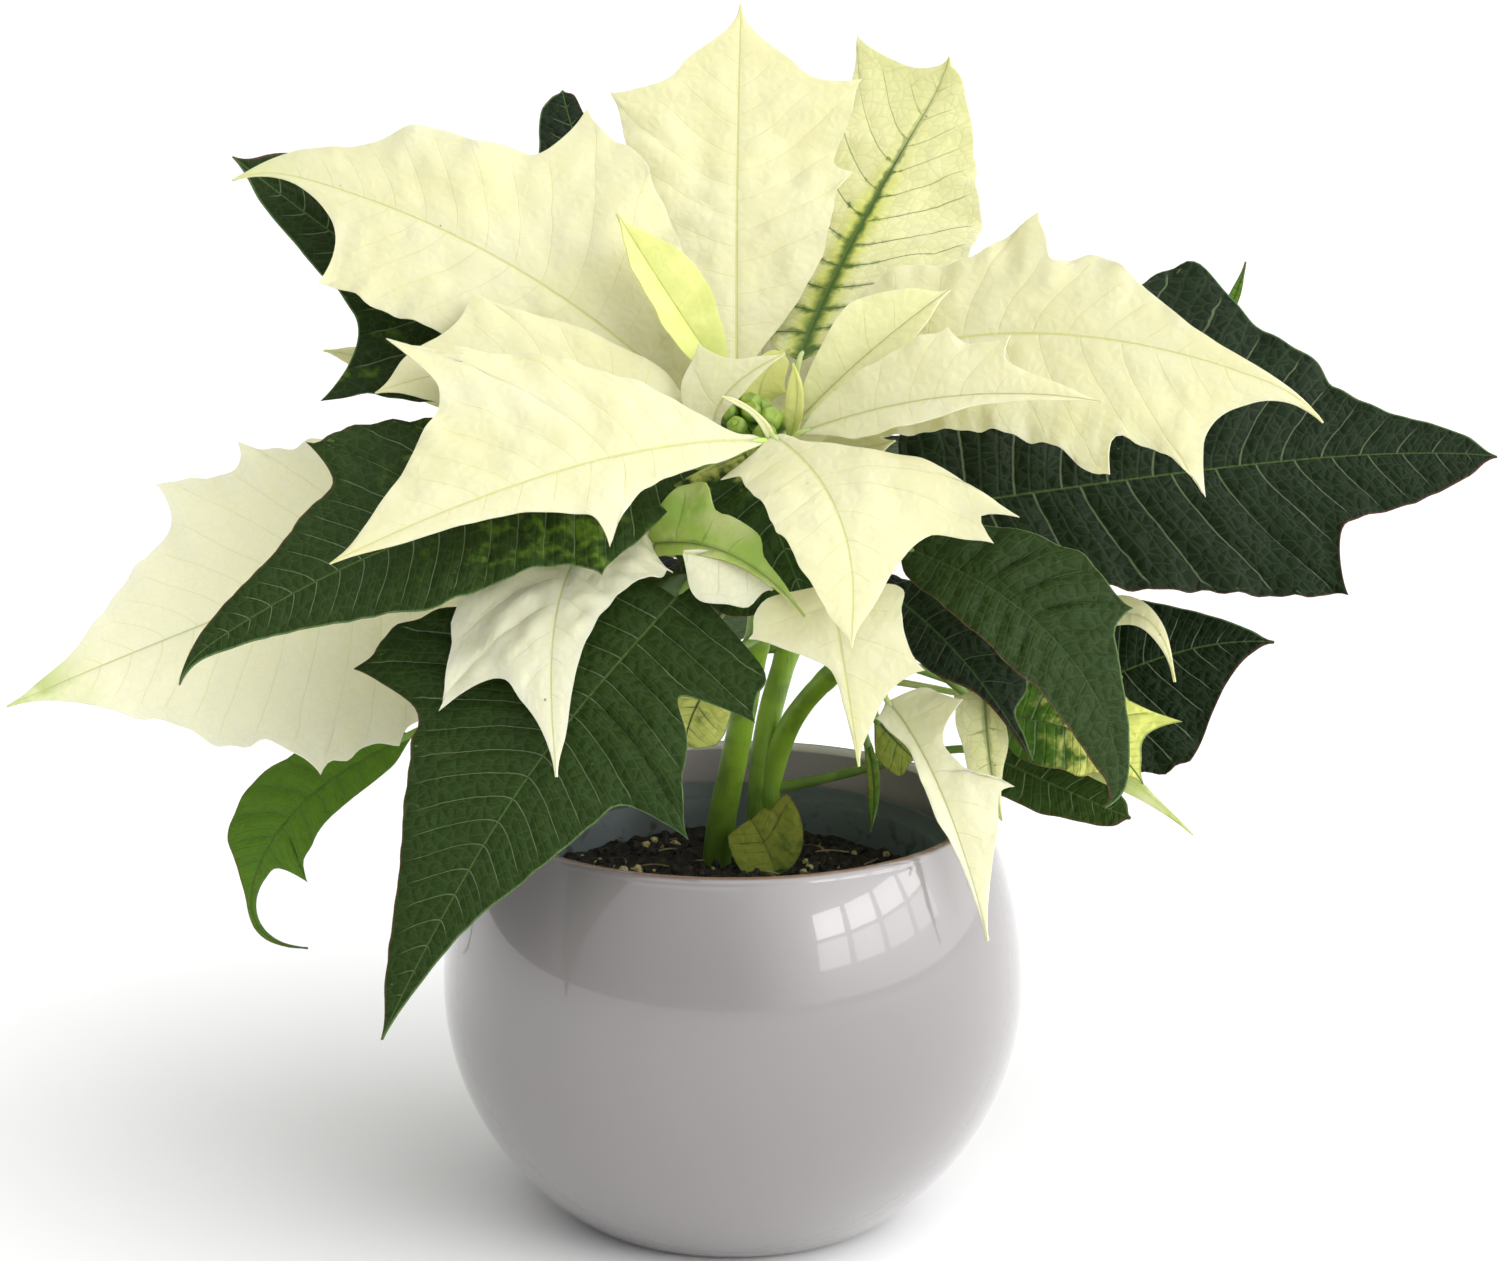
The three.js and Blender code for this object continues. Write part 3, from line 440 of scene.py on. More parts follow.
def growing_plastic(pot):
    """Moulded plastic: fine grain, a dusting of peat towards the soil."""
    board = Board.material("growing_plastic")
    place = board.position()
    height = board.parts(place)[2]
    dust = board.rise(board.noise(place, 4, 4.0), 0.52, 0.7) * (1 - board.rise(height, 86, 97))
    colour = board.mix(0.25 * board.noise(place, 20), pot.plastic, pot.peat)
    colour = board.mix(dust * 0.8, colour, pot.peat_dry)
    relief = 0.02 * board.noise(place, 0.9) + 0.05 * board.noise(place, 6)
    return board.finish(colour, 0.42 + 0.3 * dust, relief)


def peat(pot):
    """Moist potting soil: nearly black, browner on its drier crumbs."""
    board = Board.material("peat")
    place = board.position()
    crumbs = board.noise(place, 2.2, 6.0)
    colour = board.mix(board.rise(crumbs, 0.5, 0.72), pot.peat, pot.peat_dry)
    colour = board.mix(board.dots(place, 3.2, 0.4, 0.12) * 0.7, colour, pot.pebble)
    relief = 1.1 * crumbs + 0.5 * board.noise(place, 0.7, 3.0)
    return board.finish(colour, 0.95 - 0.35 * board.rise(crumbs, 0.3, 0.5), relief)


def pale_crumb(pot):
    """Pale mineral crumbs, stained by the peat in places."""
    board = Board.material("pale_crumb")
    place = board.position()
    stain = board.rise(board.noise(place, 1.6, 3.0), 0.45, 0.65)
    colour = board.mix(stain * 0.65, pot.pebble, pot.peat_dry)
    return board.finish(colour, 0.85 + 0.1 * stain, 0.4 * board.noise(place, 0.6, 3.0))


def stem_skin(stems):
    """A smooth green stem, older near the soil, with fine lengthwise grain and small pale pores."""
    board = Board.material("stem_skin")
    place = board.position()
    x, y, z = board.parts(place)
    age = 1 - board.rise(z + 12 * board.noise(place, 10), 92, 132)
    colour = board.mix(age, stems.fresh, stems.old)
    colour = board.mix(0.5 * board.rise(board.noise(place, 7), 0.4, 0.7), colour, stems.old)
    drawn = board.vector(x, y, z * 0.25)
    pores = board.dots(drawn, 2.4, 0.32, 0.25)
    colour = board.mix(pores * 0.6, colour, stems.scar)
    relief = 0.18 * board.noise(board.vector(x, y, z * 0.08), 0.9, 3.0) + 0.12 * pores
    return board.finish(colour, 0.36 + 0.15 * board.noise(place, 3), relief, subsurface_weight=0.1,
                        subsurface_scale=0.001)


def stalk_skin(name, colour, tip):
    """A leaf's or bract's stalk: streaked along its length, a little deeper in blotches."""
    board = Board.material(name)
    place = board.position()
    blotch = board.rise(board.noise(place, 8), 0.35, 0.7)
    skin = board.mix(blotch * 0.6, colour, tip)
    relief = 0.1 * board.noise(place, 1.1, 3.0)
    return board.finish(skin, 0.4 + 0.1 * blotch, relief, subsurface_weight=0.15, subsurface_scale=0.001)


def bud_skin(stems):
    """Waxy green buds that pale towards their crowns."""
    board = Board.material("bud_skin")
    crown = board.marks("bud")[0]
    place = board.position()
    colour = board.mix(board.rise(crown, 0.55, 0.95), stems.bud, stems.bud_crown)
    colour = board.mix(0.35 * board.rise(board.noise(place, 2.2), 0.4, 0.65), colour, stems.fresh)
    relief = 0.06 * board.noise(place, 0.5, 3.0)
    return board.finish(colour, 0.3 + 0.15 * board.noise(place, 1.5), relief, subsurface_weight=0.15,
                        subsurface_scale=0.001)


BRACT_LOOKS = {  # by finish: the settings' colours of ground, hollows and veins, and the veins' boldness
    "cream": ("cream", "cream_deep", "vein", 1.0),
    "young": ("young", "young_deep", "vein", 1.0),
    "veined": ("cream_deep", "young_deep", "green_vein", 1.6),
    "green": ("cream_deep", "pale_green", "green_vein", 0.7),
}
LEAF_LOOKS = {  # by finish: the settings' colours of ground, painted light on the quilt crowns, and patches
    "dark": ("dark", "crown", "marbling"),
    "mottled": ("fresh_deep", "fresh", "yellow"),
    "fresh": ("fresh_deep", "fresh", "olive"),
}
BLADE_STEP = 91  # how far apart two blades' skins lie in the noise
LOOP_REACH = 2.6  # how far from the margin the loops reach, in mm
MINOR_VEINS = 3  # to each side vein
NET_CELL = 3.2  # mm


class Venation:
    """The lines of a blade's skin, worked out from its corner attributes. Each line is 1 on it and 0 beside
    it: side veins, the minor veins between them, loops near the margin, the fine net and the midrib.

    vein holds the vein phase (whole numbers are side veins), the share of the way from the midrib to the
    margin, and the distance from the margin. flat holds the flat blade's x and y and a number of its own
    for each blade. mark holds the share of the way to the tip, 1 on the lower face, and the blade's tone.
    tint holds how marbled, how feathered with green and how greened the skin is there."""

    def __init__(self, board, gap):
        phase, share, self.margin = board.marks("vein")
        x, self.y, seed = board.marks("flat")
        u, self.under, self.tone = board.marks("mark")
        self.marbled, self.feathered, self.greened = board.marks("tint")
        self.place = board.vector(x, self.y, seed * BLADE_STEP)
        self.aside = abs(self.y)
        wander = (board.noise(self.place, 11) - 0.5) * 0.3 + (board.noise(self.place, 3) - 0.5) * 0.07
        bent = phase + wander * share + 0.22 * share * share * share
        halfway = abs((bent + 0.5).math("FRACT") - 0.5)
        self.off = halfway * gap
        loop_place = LOOP_REACH - LOOP_REACH * halfway + wander * 4
        self.loop = 1 - board.rise(abs(self.margin - loop_place), 0.08, 0.3)
        reaching = board.rise(self.margin, 1.0, 3.6)
        self.side = (1 - board.rise(self.off, 0.08, 0.34 - 0.12 * share)) * reaching
        minor = abs((bent * MINOR_VEINS + 0.5).math("FRACT") - 0.5) * (gap / MINOR_VEINS)
        self.minor = 1 - board.rise(minor, 0.08, 0.3)
        self.cells = board.net(self.place, NET_CELL)
        self.mesh = 1 - board.rise(self.cells, 0.02, 0.09)
        rib_width = 0.55 - 0.32 * u
        self.rib = 1 - board.rise(self.aside, rib_width * 0.55, rib_width)
        self.drift = board.noise(self.place, 26)
        self.blotch = board.noise(self.place, 8, 3.0)
        self.grain = board.noise(self.place, 0.8, 3.0)


def bract_skin(name, bracts, gap, ground, deep, vein, boldness):
    """A pale bract: soft satin, thin side veins and net, a greener midrib, and green that may feather out
    along the veins."""
    board = Board.material(name)
    lines = Venation(board, gap)
    colour = board.mix(board.rise(lines.drift, 0.3, 0.7) * 0.6, ground, deep)
    # the tone lifts the colour toward the palest cream: partly own paleness, partly painted light on bracts
    # in shade
    colour = board.mix(lines.tone, colour, bracts.pale_and_lit_cream)
    turning = lines.greened * (0.4 + 0.6 * board.rise(lines.blotch, 0.36, 0.62))
    colour = board.mix(turning, colour, bracts.pale_green)
    threads = lines.mesh.math("MAXIMUM", lines.minor * 0.4) * 0.08 * boldness
    colour = board.mix(threads, colour, vein)
    colour = board.mix(boldness * lines.side.math("MAXIMUM", lines.loop * 0.3) * 0.24, colour, vein)
    colour = board.mix(0.65 * lines.rib, colour, bracts.rib)
    colour = board.mix(lines.under * 0.45, colour, bracts.under)
    ragged = (board.noise(lines.place, 2.4, 3.0) - 0.5) * 4.5
    halo = 1 - board.rise(lines.off + ragged + lines.aside * 0.16, 0.0, lines.feathered * 2.6 + 0.05)
    beside = 1 - board.rise(lines.aside + ragged * 0.5, 0.4, lines.feathered * 2.4 + 0.8)
    fringe = board.rise(lines.feathered, 0.05, 0.7) * (1 - board.rise(lines.aside + ragged, 1.0, 7.0))
    colour = board.mix(0.75 * fringe, colour, bracts.fringe)
    spread = board.rise(lines.feathered, 0.02, 0.5) * halo.math("MAXIMUM", beside)
    green = spread.math("MAXIMUM", lines.side * lines.feathered)
    green = green.math("MAXIMUM", lines.rib * lines.feathered * 3)
    colour = board.mix(green.math("MINIMUM", 1.0) * 0.92, colour, bracts.feather)
    near_rib = 1 - board.rise(lines.aside, 1, 5)
    specks = board.dots(lines.place, 4.6, 0.42, 0.2) * near_rib + board.dots(lines.place, 15, 0.5, 0.1)
    colour = board.mix(0.75 * specks, colour, bracts.speck)
    dome = board.rise(lines.cells, 0.0, 0.45)
    relief = 0.1 * dome + 0.03 * lines.grain - 0.05 * lines.side - 0.1 * lines.rib
    roughness = 0.44 + 0.14 * lines.grain
    return board.finish(colour, roughness, relief, subsurface_weight=0.4, subsurface_scale=0.003,
                        subsurface_radius=(1.0, 0.9, 0.35), specular_ior_level=0.3)


def leaf_skin(name, leaves, gap, ground, crown, patches):
    """A green leaf: quilted, with thin pale side veins, a brighter midrib, a thin margin that is pale on
    the left and reddish on the right, and marbling where the blade has it. Its quilt crowns are painted
    lighter than the hollows beside the veins. Where a blade is greened, its veins are faint."""
    board = Board.material(name)
    lines = Venation(board, gap)
    # painted light and shade: crowns between the side veins lift toward the crown colour, hollows by the
    # veins keep the ground
    lit_crowns = board.rise(lines.off, 0.2, gap * 0.4) * (0.7 + 0.3 * board.rise(lines.cells, 0.0, 0.5))
    uneven = board.rise(lines.drift, 0.35, 0.65) * 0.5 + 0.5 * board.rise(lines.blotch, 0.4, 0.62)
    colour = board.mix(lit_crowns * (0.2 + 0.6 * uneven), ground, crown)
    colour = board.mix(lines.tone, colour, leaves.fresh)
    colour = board.mix(0 - lines.tone, colour, leaves.dark)
    spotted = lines.blotch * 0.6 + 0.4 * board.noise(lines.place, 2.6, 2.0) - lines.side * 0.08
    patch = board.rise(spotted + (lines.marbled - 0.5) * 0.4, 0.4, 0.62)
    patch = patch * board.rise(lines.marbled, 0.02, 0.3) * (0.5 + 0.5 * lines.marbled)
    colour = board.mix(patch, colour, patches)
    threads = lines.mesh.math("MAXIMUM", lines.minor * 0.8)
    colour = board.mix(0.04 * threads, colour, leaves.vein)
    veins = lines.side * (1 - lines.greened)
    colour = board.mix(0.6 * veins * (0.75 + 0.5 * (lines.blotch - 0.5)), colour, leaves.vein)
    colour = board.mix(0.9 * lines.rib * (1 - 0.8 * lines.greened), colour, leaves.rib)
    edge = 1 - board.rise(lines.margin, 0.1, 0.4)
    left = board.rise(lines.y, -0.5, 0.5)
    colour = board.mix(edge * (1 - left) * 0.5, colour, leaves.red_margin)
    colour = board.mix(edge * left * 0.7, colour, leaves.pale_margin)
    colour = board.mix(lines.under * 0.75, colour, leaves.under)
    pale = board.dots(lines.place, 5, 0.2, 0.16)
    colour = board.mix(pale * 0.5, colour, leaves.vein)
    dome = board.rise(lines.cells, 0.0, 0.5)
    relief = 0.34 * dome + 0.05 * lines.grain - 0.25 * lines.side - 0.12 * lines.minor - 0.2 * lines.rib
    roughness = 0.46 + 0.12 * lines.grain + 0.1 * (lines.blotch - 0.5)
    return board.finish(colour, roughness, relief, subsurface_weight=0.06, subsurface_scale=0.001,
                        specular_ior_level=0.12)


# ---------------------------------------------------------------- stems and flowers
STEM_ROOT_Z = 62
STEM_TOP_Z = 201
STEM_RINGS = 110
STEM_SIDES = 28
NODE_SWELL = (0.10, 1.5, 2.2)  # share of the radius, how far below the stalk's middle, and reach in mm
FORK_SWELL = (0.3, 0.06)  # share of the radius, and reach as a share of the length
LENGTHWISE = np.array([1, 1, 0.35])  # draws the unevenness out along the stem
STEM_LUMPS = (0.12, 2.6)  # height and size of the unevenness, in mm


@dataclass
class Stem:
    """A stem's route, and its radius at each end."""

    route: tuple
    thick: float
    thin: float


STEMS = {
    "front": Stem(((-4, 24, STEM_ROOT_Z), (-4, 23, 90), (2, 16, 125), (8, 6, 165), (7, 1, STEM_TOP_Z)),
                  4.1, 2.8),
    "back": Stem(((7, 30, STEM_ROOT_Z), (7, 30, 95), (9, 34, 120), (20, 44, 160), (21, 48, 188)), 4, 2.4),
    "right": Stem(((7.5, 31, 98), (15, 29, 122), (30, 16, 143), (44, 2, 156)), 3.2, 2.2),
}


def spline(route, count):
    """A smooth curve through the points, the centripetal Catmull-Rom one: between two points the cubic
    whose slopes come from the neighbours at steps of the square root of their distance. Past an end it
    reflects the second point."""
    points = np.array(route, float)
    padded = np.vstack([2 * points[0] - points[1], points, 2 * points[-1] - points[-2]])
    gaps = np.maximum(np.linalg.norm(np.diff(padded, axis=0), axis=1) ** 0.5, 1e-6)[:, None]
    a, b, c, d = padded[:-3], padded[1:-2], padded[2:-1], padded[3:]
    before, here, after = gaps[:-2], gaps[1:-1], gaps[2:]
    leave = ((b - a) / before - (c - a) / (before + here) + (c - b) / here) * here
    arrive = ((c - b) / here - (d - b) / (here + after) + (d - c) / after) * here
    place = np.linspace(0, len(points) - 1, count)
    piece = np.minimum(place.astype(int), len(points) - 2)
    t = (place - piece)[:, None]
    return hermite(b[piece], c[piece], leave[piece], arrive[piece], t)


def hermite(start, end, leave, arrive, t):
    """The cubic from start to end with those slopes: (2t^3-3t^2+1) start + (t^3-2t^2+t) leave
    + (3t^2-2t^3) end + (t^3-t^2) arrive."""
    square, cube = t * t, t * t * t
    ends = (2 * cube - 3 * square + 1) * start + (3 * square - 2 * cube) * end
    return ends + (cube - 2 * square + t) * leave + (cube - square) * arrive


def stem_point(name, height):
    """The point on a stem's centre line at a height."""
    line = spline(STEMS[name].route, 101)
    return line[np.argmin(abs(line[:, 2] - height))]


def stem_shell(name):
    """A round stem that thins evenly, swells where each stalk leaves it, and has a soft unevenness."""
    stem = STEMS[name]
    path = spline(stem.route, STEM_RINGS)
    share = np.linspace(0, 1, STEM_RINGS)
    radius = stem.thick + (stem.thin - stem.thick) * share
    amount, below, reach = NODE_SWELL
    for leaf in LEAVES:
        if leaf.stem == name:
            radius = radius * (1 + amount * np.exp(-(((path[:, 2] - leaf.at + below) / reach) ** 2)))
    if name == "right":
        amount, reach = FORK_SWELL
        radius = radius * (1 + amount * np.exp(-share / reach))
    rings = tube_rings(path, radius, STEM_SIDES)
    outward = unit(rings - path[:, None])
    height, size = STEM_LUMPS
    rings = rings + outward * height * lattice_noise(rings * LENGTHWISE, size, 5)[..., None]
    return ring_shell(rings)


BUD_COUNT = 11
BUD_RADIUS = 3.0
BUD_HALF_HEIGHT = 3.2
BUD_SPREAD = 2.6
CUPS_FROM = 3  # the inner buds have no cup
CORE_PROFILE = ((0.3, 0), (2, 0.6), (2.8, 3), (3.4, 5), (4.2, 7.5), (4.3, 9), (2.6, 10.6), (0.3, 11))
CORE_LIFT = np.array([0, 0, 0.2])
GOLDEN_ANGLE = math.radians(137.5)
HEAD_FOOT = np.array([7, 0.6, 201.3])
HEAD_CROWN = np.array([4.5, -4.5, 213.5])
BUD_DOME = 0.09  # how fast the outer buds sit lower
NECK_RISE = 1.4


def turn_to(direction):
    """The columns of a frame whose third axis points along direction."""
    third = unit(np.asarray(direction, float))
    first = unit(np.cross([0, 1, 0], third))
    return np.stack([first, np.cross(third, first), third], -1)


def bud_rings(rings_count, sides, seed):
    """One bud: a pear r = 3 (1 - s^2)^0.42 (1 + 0.12 s) pinched into five lobes round a small mouth."""
    s = np.cos(np.linspace(np.pi * 0.97, np.pi * 0.03, rings_count))[:, None]
    turn = around(sides)[None]
    lobes = 1 + 0.10 * ease(s, 0.35, 0.95) * np.cos(5 * turn + seed)
    uneven = 1 + 0.03 * np.cos(2 * turn + 3 * seed)
    radius = BUD_RADIUS * (1 - s * s) ** 0.42 * (1 + 0.12 * s) * lobes * uneven
    mouth = 0.55 * ease(s, 0.9, 1.0)
    height = BUD_HALF_HEIGHT * s + 0 * turn - mouth
    return np.stack([radius * np.cos(turn), radius * np.sin(turn), height], -1)


def bud_shells():
    """The head of buds: each on its neck, set out like seeds in a sunflower at an angle of 137.5 degrees
    and a distance of 2.6 sqrt(k), with small nectar cups at the sides of the outer ones."""
    shells = []
    core = revolve(CORE_PROFILE, 24)
    toward = turn_to(HEAD_CROWN - HEAD_FOOT)
    shells.append(ring_shell(core @ toward.T + HEAD_FOOT + CORE_LIFT))
    for k in range(BUD_COUNT):
        far, angle = BUD_SPREAD * math.sqrt(k), GOLDEN_ANGLE * k
        place = HEAD_CROWN + np.array([far * math.cos(angle), far * math.sin(angle), -BUD_DOME * far * far])
        lean = turn_to(place - HEAD_FOOT)
        grown = 1 - 0.16 * ((k * 7) % 5) / 4
        bud = bud_rings(26, 30, k) * grown
        shell = ring_shell(bud @ lean.T + place)
        crown = ease(bud[..., 2], -2.0, BUD_HALF_HEIGHT).ravel()[shell.quads]
        shell.marks = {"bud": np.stack([crown, 0 * crown, 0 * crown], -1)}
        shells.append(shell)
        foot = HEAD_FOOT + np.array([0, 0, NECK_RISE])
        neck = foot + (place - foot) * np.linspace(0, 1, 8)[:, None]
        shells.append(ring_shell(tube_rings(neck, np.linspace(0.8, 1.3, 8), 14)))
        if k >= CUPS_FROM:
            shells.append(nectar_cup(place, angle))
    for shell in shells:
        shell.marks = shell.marks or {"bud": np.full((len(shell.quads), 4, 3), 0.2)}
    return shells


def nectar_cup(place, angle):
    """A small two-lipped yellow-green cup on a bud's outer shoulder."""
    s = np.linspace(-0.97, 0.97, 12)[:, None]
    turn = around(16)[None]
    radius = np.sqrt(1 - s * s)
    dent = 0.35 * ease(s, 0.3, 1.0) * np.exp(-((np.sin(turn) * radius) ** 2) / 0.12)
    cup = np.stack([1.15 * radius * np.cos(turn), 0.85 * radius * np.sin(turn), 0.75 * s - dent], -1)
    aside = np.array([math.cos(angle), math.sin(angle), 0.55])
    cup = cup @ turn_to(aside).T + place + unit(aside) * 2.35
    shell = ring_shell(cup)
    shell.marks = {"bud": np.full((len(shell.quads), 4, 3), 1.0)}
    return shell


# ---------------------------------------------------------------- leaves and bracts
@dataclass
class Leaf:
    """A leaf or bract. rib holds three to five evenly spread points of its midrib, from base to tip.
    margin rows are (u, left reach, right reach): how long the side veins are that leave the rib at the
    share u of its length, looking from base to tip with the upper face up. faces is where the upper face
    looks. fold lifts both halves by that many degrees. stem and at say which stem the stalk leaves and at
    what height, and out is the way it leaves it. hooks are (share, curl, swerve): from that share of the
    length on the blade bends up and to the left by these angles in degrees. marble and feather are
    (middle, width, amount) along the length: yellow marbling, and green that spreads along the veins.
    green is (base, tip, all over): how greenish a bract is, or how faint a leaf's veins are. tone is how
    far a bract is lifted toward the palest cream, partly its own paleness and partly painted light on a
    bract that lies in shade, or how bright a leaf. ripple, wave and quilt are shares of the usual relief.
    soft is how rounded the lobes are on the left and on the right, and veins is a factor on the gap between
    side veins. stalk is the stalk's radius where it isn't the usual one. A small blade has a finer grid."""

    name: str
    stem: str
    at: float
    faces: tuple
    rib: tuple
    margin: tuple
    finish: str
    fold: float = 0
    out: tuple = None
    stalk: float = None
    small: bool = False
    hooks: tuple = ()
    marble: tuple = (0, 1, 0)
    feather: tuple = (0, 1, 0)
    green: tuple = (0, 0, 0)
    tone: float = 0
    ripple: float = 1
    wave: float = 1
    quilt: float = 1
    soft: tuple = (0, 0)
    veins: float = 1


